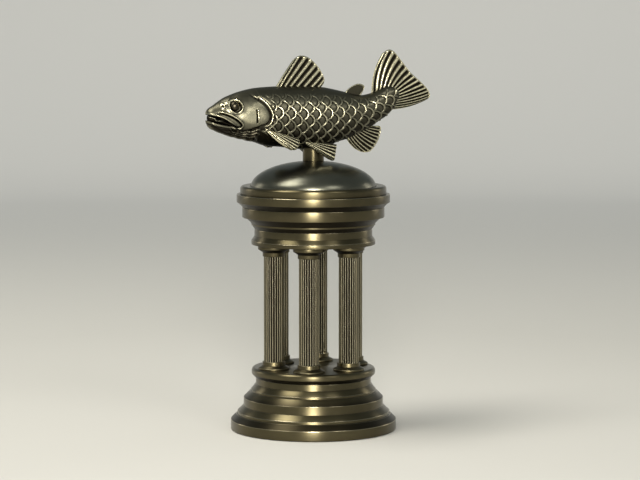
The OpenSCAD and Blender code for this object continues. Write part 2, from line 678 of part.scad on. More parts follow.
// An eye's frame: Z points out of the head from the seat of the eye's bright dome
module at_eye(side) translate([eye_place_shares[0] * fish_l - snout_to_post,
    side * (eye_seat_share + shank_share) * fish_width, eye_place_shares[1] * fish_depth])
    rotate([-side * 90, 0, 0]) children();
shank_share = 0.083;

module eye() {
    cap_r = (pow(eye_r, 2) + pow(eye_proud, 2)) / 2 / eye_proud;
    rotate_extrude($fn = small_fn) polygon(concat([[0, -eye_shank], [eye_r, -eye_shank]],
        arc([0, eye_proud - cap_r], cap_r, cap_r, acos(eye_r / cap_r), 90, eye_steps)));
}

module left_eye() color("gold") on_post() at_eye(-1) eye();
module right_eye() color("gold") on_post() at_eye(1) eye();

module dorsal_fin() color("burlywood") on_post() at_dorsal()
    fin(dorsal_tip_shares, span(dorsal_root), dorsal_h, dorsal_rays);
module adipose_fin() color("burlywood") on_post() at_adipose()
    fin(adipose_tip_shares, span(adipose_root), adipose_h, 0);
module anal_fin() color("burlywood") on_post() at_anal()
    fin(anal_tip_shares, span(anal_root), anal_h, anal_rays);
module left_pectoral_fin() color("burlywood") on_post() at_left_pectoral()
    fin(pectoral_tip_shares, span(left_pectoral_root), pectoral_h, pectoral_rays);
module right_pectoral_fin() color("burlywood") on_post() at_right_pectoral()
    fin(pectoral_tip_shares, span(right_pectoral_root), pectoral_h, pectoral_rays);
module left_pelvic_fin() color("burlywood") on_post() at_left_pelvic()
    fin(pelvic_tip_shares, span(left_pelvic_root), pelvic_h, pelvic_rays);
module right_pelvic_fin() color("burlywood") on_post() at_right_pelvic()
    fin(pelvic_tip_shares, span(right_pelvic_root), pelvic_h, pelvic_rays);

module tail_fin() color("burlywood") on_post() at_tail() {
    plate(tail_outline, fin_t);
    edge = [for (i = [4:len(tail_outline) - 6]) tail_outline[i]];
    for (i = [0:tail_rays - 1]) {
        t = (i + 0.5) / tail_rays;
        a = tail_ray_first_angle + (tail_ray_last_angle - tail_ray_first_angle) * t;
        p = tail_l * tail_ray_start_share * [cos(a), sin(a)];
        ray(p, p + (along(edge, t) - p) * ray_reach_share);
    }
}

felt_pad();
bottom_plate();
base_foot();
base_middle();
base_upper();
floor_disc();
for (i = column_numbers) {
    column_base(i);
    column_shaft(i);
    column_capital(i);
}
tie_rods();
tie_rod_nuts();
tie_rod_washers();
soffit_plate();
architrave();
bed_moulding();
frieze();
cornice();
cornice_rim();
dome();
centre_stud();
cap_nut();
cap_nut_washer();
post();
fish_trunk();
fish_head();
lower_jaw();
left_eye();
right_eye();
dorsal_fin();
adipose_fin();
tail_fin();
anal_fin();
left_pectoral_fin();
right_pectoral_fin();
left_pelvic_fin();
right_pelvic_fin();
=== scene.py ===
import math
import bpy
import numpy as np
from mathutils import Matrix, Vector


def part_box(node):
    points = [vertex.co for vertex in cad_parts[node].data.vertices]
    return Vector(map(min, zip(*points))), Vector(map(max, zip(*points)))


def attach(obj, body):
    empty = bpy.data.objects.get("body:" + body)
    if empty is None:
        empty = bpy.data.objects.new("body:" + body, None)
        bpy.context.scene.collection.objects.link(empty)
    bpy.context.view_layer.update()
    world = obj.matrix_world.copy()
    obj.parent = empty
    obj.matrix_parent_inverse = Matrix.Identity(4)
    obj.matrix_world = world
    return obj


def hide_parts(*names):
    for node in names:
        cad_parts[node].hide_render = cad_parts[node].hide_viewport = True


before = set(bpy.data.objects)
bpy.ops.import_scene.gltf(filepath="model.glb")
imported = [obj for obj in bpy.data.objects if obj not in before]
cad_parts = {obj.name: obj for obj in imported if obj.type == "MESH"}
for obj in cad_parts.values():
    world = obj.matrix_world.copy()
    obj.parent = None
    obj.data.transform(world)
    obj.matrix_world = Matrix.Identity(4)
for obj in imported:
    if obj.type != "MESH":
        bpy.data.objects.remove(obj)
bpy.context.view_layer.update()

mm = 0.001

# Selecting, naming and keeping pieces


def deselectAll():
    if bpy.context.object and bpy.context.object.mode != "OBJECT":
        bpy.ops.object.mode_set(mode="OBJECT")
    bpy.ops.object.select_all(action="DESELECT")


def nameIt(name):
    piece = bpy.context.object
    piece.name = name
    piece.data.name = name
    return piece


def activate(piece):
    deselectAll()
    piece.select_set(True)
    bpy.context.view_layer.objects.active = piece


def selectPoints(piece, chosen):
    # chosen is one true or false for each vertex; ends in edit mode
    activate(piece)
    piece.data.vertices.foreach_set("select", chosen)
    piece.data.edges.foreach_set("select", np.zeros(len(piece.data.edges), bool))
    piece.data.polygons.foreach_set("select", np.zeros(len(piece.data.polygons), bool))
    bpy.ops.object.mode_set(mode="EDIT")
    bpy.ops.mesh.select_mode(type="VERT")


def pointsOf(piece):
    co = np.empty(len(piece.data.vertices) * 3)
    piece.data.vertices.foreach_get("co", co)
    return co.reshape(-1, 3)


def setPoints(piece, points):
    piece.data.vertices.foreach_set("co", np.asarray(points, float).ravel())
    piece.data.update()


plainMetal = 0.62


def setPatinaAndPaintedLight(piece, values):
    # 0 is darkest, for patina and for painted shade; plainMetal is for open faces; 1 is brightest, for rubbed
    # edges and for painted highlights
    layer = piece.data.attributes.new("patinaAndPaintedLight", "FLOAT", "POINT")
    layer.data.foreach_set("value", np.asarray(values, float).ravel())


def modify(piece, kind, **settings):
    activate(piece)
    modifier = piece.modifiers.new(kind.title(), kind)
    for key, value in settings.items():
        setattr(modifier, key, value)
    bpy.ops.object.modifier_apply(modifier=modifier.name)


def keep(piece, material, nodes, smoothAngle=35):
    activate(piece)
    bpy.ops.object.transform_apply(location=True, rotation=True, scale=True)
    bpy.ops.object.shade_smooth_by_angle(angle=math.radians(smoothAngle))
    piece.data.materials.clear()
    piece.data.materials.append(material)
    if "patinaAndPaintedLight" not in piece.data.attributes:
        setPatinaAndPaintedLight(piece, np.full(len(piece.data.vertices), plainMetal))
    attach(piece, "root")
    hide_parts(*nodes)
    return piece


# Materials


def addNode(tree, kind, inputs, **settings):
    node = tree.nodes.new(kind)
    for key, value in settings.items():
        setattr(node, key, value)
    for key, value in inputs.items():
        if isinstance(value, bpy.types.NodeSocket):
            tree.links.new(value, node.inputs[key])
        else:
            node.inputs[key].default_value = value
    return node


def newMaterial(name, shaderInputs):
    material = bpy.data.materials.new(name)
    material.use_nodes = True
    tree = material.node_tree
    shader = tree.nodes["Principled BSDF"]
    for key, value in shaderInputs.items():
        shader.inputs[key].default_value = value
    return material, tree, shader


def mixColour(tree, factor, low, high):
    mix = addNode(tree, "ShaderNodeMix", {}, data_type="RGBA")
    for index, value in ((0, factor), (6, low), (7, high)):
        if isinstance(value, bpy.types.NodeSocket):
            tree.links.new(value, mix.inputs[index])
        else:
            mix.inputs[index].default_value = value
    return mix.outputs[2]


def ramped(tree, value, band, newBand=(0.0, 1.0)):
    node = addNode(tree, "ShaderNodeMapRange", {"Value": value, "From Min": band[0], "From Max": band[1],
                                                "To Min": newBand[0], "To Max": newBand[1]})
    return node.outputs["Result"]


def noiseAt(tree, place, scale, detail, stretch=(1, 1, 1)):
    mapping = addNode(tree, "ShaderNodeMapping", {"Vector": place, "Scale": stretch})
    noise = addNode(tree, "ShaderNodeTexNoise", {"Vector": mapping.outputs["Vector"], "Scale": scale,
                                                 "Detail": detail})
    return noise.outputs["Fac"]


def brassMaterial(name, look):
    material, tree, shader = newMaterial(name, {"Metallic": 1.0, "Anisotropic": look["brushed"]})
    if look["brushed"]:
        # the marks of the lathe run round the piece
        lathe = addNode(tree, "ShaderNodeTangent", {}, direction_type="RADIAL", axis="Z")
        tree.links.new(lathe.outputs["Tangent"], shader.inputs["Tangent"])
        shader.inputs["Anisotropic Rotation"].default_value = 0.25
    place = tree.nodes.new("ShaderNodeTexCoord").outputs["Object"]
    cloud = noiseAt(tree, place, look["cloudScale"], look["cloudDetail"])
    grain = noiseAt(tree, place, look["grainScale"], look["grainDetail"], look["grainStretch"])
    patinaAndPaintedLight = addNode(tree, "ShaderNodeAttribute", {}, attribute_name="patinaAndPaintedLight").outputs["Fac"]
    metal = mixColour(tree, ramped(tree, cloud, look["cloudBand"]), look["bright"], look["dull"])
    aged = mixColour(tree, ramped(tree, patinaAndPaintedLight, look["patinaBand"]), look["tarnish"], metal)
    colour = mixColour(tree, ramped(tree, patinaAndPaintedLight, look["rubbedBand"]), aged, look["rubbedAndHighlight"])
    tree.links.new(colour, shader.inputs["Base Color"])
    rough = ramped(tree, grain, look["grainBand"], look["roughness"])
    extra = ramped(tree, patinaAndPaintedLight, (0, 1), (look["tarnishRoughness"], 0))
    worn = addNode(tree, "ShaderNodeMath", {0: extra, 1: rough}, operation="ADD").outputs[0]
    tree.links.new(worn, shader.inputs["Roughness"])
    bump = addNode(tree, "ShaderNodeBump", {"Height": grain, "Strength": look["bump"],
                                            "Distance": look["bumpDepth"]})
    tree.links.new(bump.outputs["Normal"], shader.inputs["Normal"])
    return material


steel = {"dark": (0.52, 0.54, 0.56, 1), "light": (0.72, 0.73, 0.72, 1), "spangleScale": 260.0,
         "spangleDetail": 3.0, "spangleBand": (0.3, 0.7), "roughness": (0.28, 0.42)}


def steelMaterial(name):
    material, tree, shader = newMaterial(name, {"Metallic": 1.0})
    place = tree.nodes.new("ShaderNodeTexCoord").outputs["Object"]
    spangle = noiseAt(tree, place, steel["spangleScale"], steel["spangleDetail"])
    tree.links.new(mixColour(tree, spangle, steel["dark"], steel["light"]), shader.inputs["Base Color"])
    tree.links.new(ramped(tree, spangle, steel["spangleBand"], steel["roughness"]),
                   shader.inputs["Roughness"])
    return material


wool = {"dark": (0.012, 0.022, 0.014, 1), "light": (0.045, 0.07, 0.05, 1), "sheen": 0.4, "roughness": 0.95,
        "fibreScale": 1400.0, "fibreDetail": 6.0, "fibreStretch": (1, 0.35, 1),
        "tuftScale": 300.0, "tuftDetail": 4.0, "bump": 0.6, "bumpDepth": 0.0004}


def feltMaterial(name):
    material, tree, shader = newMaterial(name, {"Sheen Weight": wool["sheen"],
                                                "Roughness": wool["roughness"]})
    place = tree.nodes.new("ShaderNodeTexCoord").outputs["Object"]
    fibres = noiseAt(tree, place, wool["fibreScale"], wool["fibreDetail"], wool["fibreStretch"])
    tufts = noiseAt(tree, place, wool["tuftScale"], wool["tuftDetail"])
    tree.links.new(mixColour(tree, fibres, wool["dark"], wool["light"]), shader.inputs["Base Color"])
    bump = addNode(tree, "ShaderNodeBump", {"Height": tufts, "Strength": wool["bump"],
                                            "Distance": wool["bumpDepth"]})
    tree.links.new(bump.outputs["Normal"], shader.inputs["Normal"])
    return material


# every brass starts from this look; the others say what differs
antique = {"bright": (0.122, 0.105, 0.06, 1), "dull": (0.088, 0.076, 0.045, 1),
           "tarnish": (0.012, 0.01, 0.007, 1), "rubbedAndHighlight": (0.5, 0.45, 0.32, 1),
           "patinaBand": (0.05, 0.6), "rubbedBand": (0.65, 1.0), "tarnishRoughness": 0.2,
           "cloudScale": 28.0, "cloudDetail": 5.0, "cloudBand": (0.35, 0.7),
           "grainScale": 420.0, "grainDetail": 3.0, "grainBand": (0.3, 0.7), "grainStretch": (1, 1, 1),
           "brushed": 0.0, "roughness": (0.2, 0.27), "bump": 0.05, "bumpDepth": 0.0002}
turnedBrass = brassMaterial("turned brass", {
    **antique, "grainStretch": (0.03, 0.03, 6), "brushed": 0.7, "roughness": (0.22, 0.27), "bump": 0.02})
columnBrass = brassMaterial("column brass", {
    **antique, "rubbedAndHighlight": (0.4, 0.37, 0.27, 1), "grainStretch": (1, 1, 0.05), "roughness": (0.26, 0.3),
    "bump": 0.0})
domeBronze = brassMaterial("dome bronze", {
    **antique, "bright": (0.155, 0.155, 0.125, 1), "dull": (0.12, 0.122, 0.1, 1), "roughness": (0.2, 0.24),
    "bump": 0.01})
fishBronze = brassMaterial("fish bronze", {
    **antique, "bright": (0.2, 0.192, 0.14, 1), "dull": (0.165, 0.158, 0.115, 1),
    "rubbedAndHighlight": (0.78, 0.73, 0.52, 1), "bump": 0.015})
finBronze = brassMaterial("fin bronze", {
    **antique, "bright": (0.25, 0.235, 0.165, 1), "dull": (0.2, 0.19, 0.135, 1),
    "rubbedAndHighlight": (0.78, 0.73, 0.52, 1), "roughness": (0.22, 0.3)})
eyeBronze = brassMaterial("eye bronze", {
    **antique, "bright": (0.46, 0.42, 0.31, 1), "roughness": (0.1, 0.14), "bump": 0.0})
zincSteel = steelMaterial("zinc steel")
feltCloth = feltMaterial("felt")
print("materials made")

# Turned tiers: each outline is (radius, height) in millimetres, from the felt up


def arc(centre, across, rise, start, end, steps):
    angles = np.radians(np.linspace(start, end, steps + 1))
    return [(centre[0] + across * math.cos(a), centre[1] + rise * math.sin(a)) for a in angles]


def turn(name, outline, edge, closing, sides=160, rub=1.1):
    # a ring of points is extruded up and in along the outline, as on a lathe; edge is how far its corners
    # are rounded, and rub how bright these are
    deselectAll()
    radius, height = outline[0]
    bpy.ops.mesh.primitive_circle_add(vertices=sides, radius=radius * mm, location=(0, 0, height * mm))
    piece = nameIt(name)
    bpy.ops.object.mode_set(mode="EDIT")
    bpy.ops.mesh.select_mode(type="VERT")
    bpy.ops.mesh.select_all(action="SELECT")
    for nextRadius, nextHeight in outline[1:]:
        bpy.ops.mesh.extrude_region_move(TRANSFORM_OT_translate={"value": (0, 0, (nextHeight - height) * mm)})
        bpy.ops.transform.resize(value=(nextRadius / radius, nextRadius / radius, 1))
        radius, height = nextRadius, nextHeight
    bpy.ops.mesh.select_all(action="DESELECT")
    bpy.ops.mesh.select_non_manifold()
    if closing == "bridge":
        bpy.ops.mesh.bridge_edge_loops()
    elif closing == "caps":
        bpy.ops.mesh.edge_face_add()
    bpy.ops.mesh.select_all(action="SELECT")
    bpy.ops.mesh.normals_make_consistent(inside=False)
    bpy.ops.object.mode_set(mode="OBJECT")
    if edge:
        bpy.ops.object.transform_apply(location=True)
        modify(piece, "BEVEL", width=edge * mm, segments=3, limit_method="ANGLE",
               angle_limit=math.radians(20))
        paintEdgeWearAndShade(piece, edge, rub)
    return piece


# painted shade: inner corners, faces turned down and the broad chamfers are painted darker
# each chamfer is (inner radius, outer radius, foot), which tell its points from the others
wearAndPaintedShade = {"cornerPatinaAndShade": 1.6, "underside": 0.85, "facingDown": 0.6, "chamfer": 0.17, "chamferRise": 5,
        "chamfers": ((60.75, 64.95, 8), (49.95, 54.75, 25)), "levelWithin": 0.01}


def paintEdgeWearAndShade(piece, reach, rub):
    # rounded outer edges are rubbed bright, partly as a painted highlight; inner corners are darkened, partly
    # patina and partly painted shade; undersides and the broad chamfers are painted dark as shade
    points = pointsOf(piece) / mm
    count = len(points)
    normals = np.empty(count * 3)
    piece.data.vertices.foreach_get("normal", normals)
    normals = normals.reshape(-1, 3)
    ends = np.empty(len(piece.data.edges) * 2, int)
    piece.data.edges.foreach_get("vertices", ends)
    a, b = ends.reshape(-1, 2).T
    radius = np.hypot(points[:, 0], points[:, 1])
    along = np.hypot(radius[a] - radius[b], points[a, 2] - points[b, 2]) > wearAndPaintedShade["levelWithin"]
    a, b = a[along], b[along]
    step = points[b] - points[a]
    length = np.linalg.norm(step, axis=1)
    bend, longest = np.zeros(count), np.zeros(count)
    np.add.at(bend, a, -(step * normals[a]).sum(1) / length)
    np.add.at(bend, b, (step * normals[b]).sum(1) / length)
    np.maximum.at(longest, a, length)
    np.maximum.at(longest, b, length)
    # convex edges rubbed bright, partly a painted highlight; concave corners darkened, partly patina and
    # partly painted shade
    change = np.where(bend > 0, rub, wearAndPaintedShade["cornerPatinaAndShade"]) * bend
    values = np.where(longest < reach, plainMetal + change, plainMetal)
    # painted shade: the broad chamfers are painted dark
    for inner, outer, foot in wearAndPaintedShade["chamfers"]:
        onSlope = (radius > inner) & (radius < outer)
        onSlope = onSlope & (points[:, 2] > foot) & (points[:, 2] < foot + wearAndPaintedShade["chamferRise"])
        values = np.where(onSlope & (longest > reach), wearAndPaintedShade["chamfer"], values)
    # painted shade: faces turned down are painted darker
    down = np.clip(-normals[:, 2] / wearAndPaintedShade["facingDown"], 0, 1)
    setPatinaAndPaintedLight(piece, np.clip(values * (1 - wearAndPaintedShade["underside"] * down), 0, 1))


tiers = {
    "base_foot": [(61.1, 0.4), (65, 0.4), (65, 8.1), (60.7, 12.4), (59.8, 12.4), (59.8, 14.7),
                  (51, 14.7), (51, 10.1), (56, 10.1), (56, 1.6), (61.1, 1.6)],
    "base_middle": [(50.9, 14.7), (59.3, 14.7), (55.2, 18.8), (54.8, 18.8), (54.8, 25.4), (49.9, 30.2),
                    (49, 30.2), (49, 31.9), (44.8, 31.9), (44.8, 25.4), (49.4, 18.8), (49.4, 13.5),
                    (50.9, 13.5)],
    "base_upper": [(44.7, 31.9), (48.5, 31.9), (45.7, 36), (45.3, 36), (45.3, 41), (43.2, 41),
                   (43.2, 30.7), (44.7, 30.7)],
    "architrave": [(43.2, 149), (48.5, 149), (46.1, 152.5), (46.1, 158), (43.2, 158)],
    "bed_moulding": [(43, 158), (46.1, 158), (48.1, 161), (48.5, 161), (48.5, 162.5), (53.1, 167.1),
                     (49.4, 167.1), (49.4, 168.3), (47.9, 168.3), (47.9, 164.3), (41.6, 159.7),
                     (41.6, 156.8), (43, 156.8)],
    "frieze": [(49.5, 167.1), (55.6, 167.1), (55.6, 174.9), (49.5, 174.9)],
    "cornice": [(49.4, 174.9), (55.2, 174.9), (59.1, 178.8), (59.9, 178.8), (59.9, 185.1), (47.9, 185.1),
                (47.9, 173.7), (49.4, 173.7)],
}
tierEdge, smallEdge = 0.35, 0.3
for node, outline in tiers.items():
    keep(turn(node + "_turned", outline, tierEdge, "bridge"), turnedBrass, [node])

floorRound = {"centre": (46.1, 46.6), "radius": 2.4}
floorDisc = [(43, 39.8), (43, 41), (45.3, 41), (48.5, 44.2),
             *arc(floorRound["centre"], floorRound["radius"], floorRound["radius"], start=0, end=90, steps=6)]
keep(turn("floor_turned", floorDisc, smallEdge, "caps"), turnedBrass, ["floor_disc"])

soffit = [(43, 145.9), (48.5, 145.9), (48.5, 149), (43, 149), (43, 150.2)]
keep(turn("soffit_turned", soffit, smallEdge, "caps"), turnedBrass, ["soffit_plate"])

rimRound = {"centre": (54.8, 189.4), "radius": 2.3}
rim = [(47.8, 185.1), (57.1, 185.1),
       *arc(rimRound["centre"], rimRound["radius"], rimRound["radius"], start=0, end=90, steps=8),
       (50.3, 191.5), (49.3, 190.4), (49.3, 188.2), (44, 188.2), (44, 183.9), (47.8, 183.9)]
keep(turn("rim_turned", rim, smallEdge, "bridge"), turnedBrass, ["cornice_rim"])

dome = {"springing": 190.1, "radius": 49.1, "rise": 20.8, "wall": 2.2, "flat": 8.6, "bore": 3.2,
        "foot": 188.2, "innerFrom": 84}
flatAngle = math.degrees(math.acos(dome["flat"] / dome["radius"]))
innerRadius, innerRise = dome["radius"] - dome["wall"], dome["rise"] - dome["wall"]
outer = arc((0, dome["springing"]), dome["radius"], dome["rise"], start=0, end=flatAngle, steps=40)
inner = arc((0, dome["springing"]), innerRadius, innerRise, start=dome["innerFrom"], end=0, steps=24)
domeOutline = [(dome["radius"], dome["foot"]), *outer, (dome["bore"], outer[-1][1]),
               (dome["bore"], inner[0][1]), *inner, (innerRadius, dome["foot"])]
keep(turn("dome_turned", domeOutline, 0, "bridge", sides=192), domeBronze, ["dome"])
print("tiers turned")

# Felt under the foot, the post, and the screws and nuts inside

felt = turn("felt_disc", [(60.6, 0), (61, 0.5), (61, 1.4), (60.7, 1.6)], 0, "caps")
keep(felt, feltCloth, ["felt_pad"])

postRadius = 8.3
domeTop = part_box("dome")[1][2] / mm
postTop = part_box("post")[1][2] / mm
post = turn("post_turned", [(postRadius, domeTop), (postRadius, postTop)], smallEdge, "caps", sides=96)
keep(post, turnedBrass, ["post"])

for node in ("bottom_plate", "tie_rods", "tie_rod_nuts", "tie_rod_washers", "centre_stud"):
    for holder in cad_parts[node].material_slots:
        holder.material = zincSteel
for node in ("cap_nut", "cap_nut_washer"):
    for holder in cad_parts[node].material_slots:
        holder.material = eyeBronze

# Columns: one base, shaft and capital, then a copy of each at its place

column = {"count": 6, "circle": 33.8, "turn": -5.6, "shaftFrom": 55.2, "shaftTo": 137.5,
          "shaft": 7.8, "flutes": 24, "fluteSteps": 12, "fluteHalf": 0.76, "fluteDepth": 0.72,
          "crown": 0.08, "patinaFrom": 0.66, "patinaTo": 0.9, "sides": 96, "rub": 0.3}


def flutedShaft():
    deselectAll()
    steps = column["fluteSteps"]
    length = column["shaftTo"] - column["shaftFrom"]
    bpy.ops.mesh.primitive_cylinder_add(vertices=column["flutes"] * steps, radius=column["shaft"] * mm,
                                        depth=length * mm,
                                        location=(0, 0, (column["shaftFrom"] + length / 2) * mm))
    shaft = nameIt("shaft_fluted")
    bpy.ops.object.transform_apply(location=True)
    points = pointsOf(shaft)
    pitch = 360 / column["flutes"]
    halfAngle = math.degrees(column["fluteHalf"] / column["shaft"])
    index = np.rint(np.degrees(np.arctan2(points[:, 1], points[:, 0])) / pitch * steps).astype(int) % steps
    for k in range(steps):
        # step 0 is the crown of the land; the rest lie evenly across the flute
        across = 2 * (k - 1) / (steps - 2) - 1 if k else 0
        hollow = column["fluteDepth"] - column["crown"]
        depth = column["crown"] + hollow * math.sqrt(max(0, 1 - across ** 2)) if k else 0
        swing = pitch / 2 + across * halfAngle - k * pitch / steps if k else 0
        selectPoints(shaft, index == k)
        share = (column["shaft"] - depth) / column["shaft"]
        bpy.ops.transform.resize(value=(share, share, 1), center_override=(0, 0, 0))
        bpy.ops.transform.rotate(value=-math.radians(swing), orient_axis="Z", center_override=(0, 0, 0))
    bpy.ops.object.mode_set(mode="OBJECT")
    radius = np.hypot(*pointsOf(shaft)[:, :2].T) / mm
    raised = (radius - column["shaft"] + column["fluteDepth"]) / column["fluteDepth"]
    band = column["patinaTo"] - column["patinaFrom"]
    setPatinaAndPaintedLight(shaft, np.clip((raised - column["patinaFrom"]) / band, 0, 1))
    return shaft


def columnCopies(master, kind, smoothAngle):
    for i in range(column["count"]):
        piece = master.copy()
        piece.data = master.data.copy()
        bpy.context.collection.objects.link(piece)
        piece.name = f"{kind}_{i + 1}_brass"
        angle = math.radians(column["turn"] + 360 / column["count"] * i)
        outward = Matrix.Translation((0, -column["circle"] * mm, 0))
        piece.data.transform(Matrix.Rotation(angle, 4, "Z") @ outward)
        keep(piece, columnBrass, [f"column_{kind}_{i + 1}"], smoothAngle)
    bpy.data.objects.remove(master)


def columnMoulding(name, outline):
    return turn(name, outline, smallEdge, "bridge", sides=column["sides"], rub=column["rub"])


columnBase = [(2.2, 49), (12.2, 49), (12.2, 50.3), (8.9, 52.1), (8.9, 55.2), (2.2, 55.2)]
capital = [(2.2, 137.5), (8.6, 137.5), (8.6, 140.7), (12.2, 143), (12.2, 145.9), (2.2, 145.9)]
columnCopies(columnMoulding("base_master", columnBase), "base", smoothAngle=35)
columnCopies(columnMoulding("capital_master", capital), "capital", smoothAngle=35)
columnCopies(flutedShaft(), "shaft", smoothAngle=85)
print("columns placed")

# Trout. Its own frame: u runs from the post back to the tail, v to its right flank, w up.
# Rows of the lofts: (u, w, half depth, half width, tilt in degrees)

# underside and back paint the fish darker where it faces down and where it faces up, as painted shade
trout = {
    "yaw": 27, "lift": 35.3, "open": 0.43, "underside": 0.85, "back": 0.35,
    "trunk": [(-52, 1.65, 20.65, 14.8, 0), (-42, 0.45, 22.65, 15.9, 0), (-30, 0.1, 23.4, 16.3, 0),
              (-12, -1.1, 24.4, 16.5, 0), (6, -1, 23.5, 15.8, 0), (16, -0.4, 21.4, 14.5, 2),
              (26.2, 0.3, 18.8, 12.8, 5.3), (37.2, 1.9, 15.6, 10.4, 13.9), (47.7, 4.3, 12.7, 8.2, 27),
              (56.7, 7.7, 11.2, 6.4, 34), (64.7, 12.3, 9.6, 5, 33), (69.6, 16.1, 7.5, 4, 28.6),
              (73.6, 17.6, 4.4, 2.8, 28), (75.2, 18.4, 1, 0.7, 28)],
    "head": [(-92.1, 0.9, 1.0, 0.7), (-91.8, 0.8, 3.1, 1.6), (-91.2, 0.7, 4.9, 2.9), (-90.2, 0.45, 6.4, 4.5),
             (-88.4, 0.25, 7.9, 6.2), (-85.1, 0.4, 9.6, 7.6), (-81.7, 0.75, 11.5, 8.7),
             (-77.4, 1.35, 13.6, 9.7), (-74, 1.5, 15, 10.4), (-69.8, 1.6, 16.4, 11.3),
             (-65.6, 1.8, 17.6, 12.3), (-59.6, 1.8, 19.1, 13.4), (-52, 1.65, 20.65, 14.8),
             (-42, 0.45, 22.65, 15.9)],
    "gillEdge": [(-59.8, 17.6), (-54.4, 14.2), (-49.6, 10.4), (-46.4, 6.2), (-44.9, 2.2), (-45.4, -1.6),
                 (-47.6, -4.5), (-51.6, -6.0), (-56, -7.6), (-61.5, -9.3), (-66.5, -9.4), (-70.7, -8.1)],
    "upperLip": [(-95, 3.4), (-91.8, 3.0), (-87.6, 1.9), (-83.7, 0.9), (-80, -0.8), (-76, -3.2),
                 (-72.7, -5.3), (-70.4, -6.5)],
    "lowerLip": [(-95, -1.4), (-91.5, -1.8), (-88.6, -3.1), (-84.8, -4.4), (-80.2, -5.4), (-75.6, -6.2),
                 (-72.4, -6.6), (-70.4, -6.9)],
    "maxilla": [(-84.6, 3.7), (-81.6, 3.3), (-78, 2.2), (-74.4, 0.6), (-70.8, -1.5), (-68, -3.8),
                (-67.1, -5.4), (-68.4, -6.3), (-70.7, -6.5)],
    "preopercle": [(-55.3, 6.6), (-55.2, 3.7), (-55, 0), (-54.8, -4.4)],
    "brow": [(-82.6, 9.8), (-78.3, 11.2), (-74.1, 12.6)],
    "jawLine": [(-89.4, -6.2), (-84, -8), (-77, -9.6), (-69, -10.6)],
    "chin": [(-90.4, -6), (-87, -8.8), (-82.2, -11.2), (-75.4, -13.6), (-66.7, -16), (-56, -18.7)],
    "eye": (-70.9, 8.8), "eyeRadius": 3.9, "eyeInset": 7.1, "nostril": (-80.6, 8.9),
    "cavity": [(-91.4, 0.4, 0.4, 0.4), (-90, 0.2, 1.8, 2), (-86, -1, 3.8, 4), (-80, -2.2, 4.7, 5.4),
               (-74, -4.6, 4.8, 7), (-68, -6.4, 4, 7.4), (-64, -6.8, 2.5, 4.5), (-63, -6.8, 0.4, 0.4)],
    "tongue": [(-90.9, -0.2, 0.3, 0.3), (-90.5, -0.2, 2, 1.1), (-89.4, -0.4, 2.7, 2.1), (-87, -1, 3, 3),
               (-84, -1.7, 3, 3.9), (-80, -3, 2.8, 4.9), (-76, -4.4, 2.4, 5.8), (-72, -5.8, 2, 6.5),
               (-68, -6.8, 1.6, 6), (-65.5, -7.2, 0.3, 1)],
    "tongueEdge": [(-89.8, 1), (-86.5, 0), (-84.3, -2.1), (-82.1, -2.3), (-77.6, -1.8), (-73, -4.2)],
}
fishFloor = domeTop + trout["lift"]


def curveThrough(rows, share):
    # a smooth curve through the rows; share runs from 0 at the first to 1 at the last
    rows = np.array(rows, float)
    last = len(rows) - 1
    place = np.clip(share, 0, 1) * last
    i = np.minimum(np.floor(place).astype(int), last - 1)
    t = (place - i)[..., None]
    a, b, c, d = rows[np.maximum(i - 1, 0)], rows[i], rows[i + 1], rows[np.minimum(i + 2, last)]
    square, cube = 2 * a - 5 * b + 4 * c - d, 3 * b - a - 3 * c + d
    return 0.5 * (2 * b + (c - a) * t + square * t ** 2 + cube * t ** 3)


def skin(rows, share, angle):
    q = curveThrough(rows, share)
    n = q[..., 2] * np.sin(angle)
    tilt = np.radians(q[..., 4]) if q.shape[-1] > 4 else 0 * n
    return np.stack([q[..., 0] - n * np.sin(tilt), q[..., 3] * np.cos(angle),
                     q[..., 1] + n * np.cos(tilt)], -1)


def toWorld(points):
    yaw = math.radians(trout["yaw"])
    u, v, w = points[..., 0], points[..., 1], points[..., 2]
    return np.stack([u * math.cos(yaw) - v * math.sin(yaw), u * math.sin(yaw) + v * math.cos(yaw),
                     w + fishFloor], -1) * mm


def smoothStep(x, low, high):
    t = np.clip((x - low) / (high - low), 0, 1)
    return t * t * (3 - 2 * t)


def bell(x, halfWidth):
    return np.exp(-(x / halfWidth) ** 2)


def swell(u, w, form):
    return form["height"] * np.exp(-((u - form["at"][0]) / form["reach"][0]) ** 2
                                   - ((w - form["at"][1]) / form["reach"][1]) ** 2)


def fromLine(u, w, line, samples=48):
    # signed distance to a smooth line, positive on its left hand, and the share of the way along it
    c = curveThrough(line, np.linspace(0, 1, samples))
    best = np.full(u.shape, 1e9)
    signed = np.zeros(u.shape)
    along = np.zeros(u.shape)
    for k in range(samples - 1):
        d = c[k + 1] - c[k]
        t = np.clip(((u - c[k, 0]) * d[0] + (w - c[k, 1]) * d[1]) / (d @ d), 0, 1)
        x, y = u - c[k, 0] - t * d[0], w - c[k, 1] - t * d[1]
        distance = np.hypot(x, y)
        nearer = distance < best
        best = np.where(nearer, distance, best)
        signed = np.where(nearer, np.where(d[0] * y - d[1] * x > 0, distance, -distance), signed)
        along = np.where(nearer, (k + t) / (samples - 1), along)
    return signed, along


def normalsOf(points, closed=True):
    if closed:
        ring = np.concatenate([points[:, -2:-1], points, points[:, 1:2]], 1)
        around = ring[:, 2:] - ring[:, :-2]
    else:
        around = np.gradient(points, axis=1)
    normal = np.cross(around, np.gradient(points, axis=0))
    return normal / np.maximum(np.linalg.norm(normal, axis=-1, keepdims=True), 1e-9)


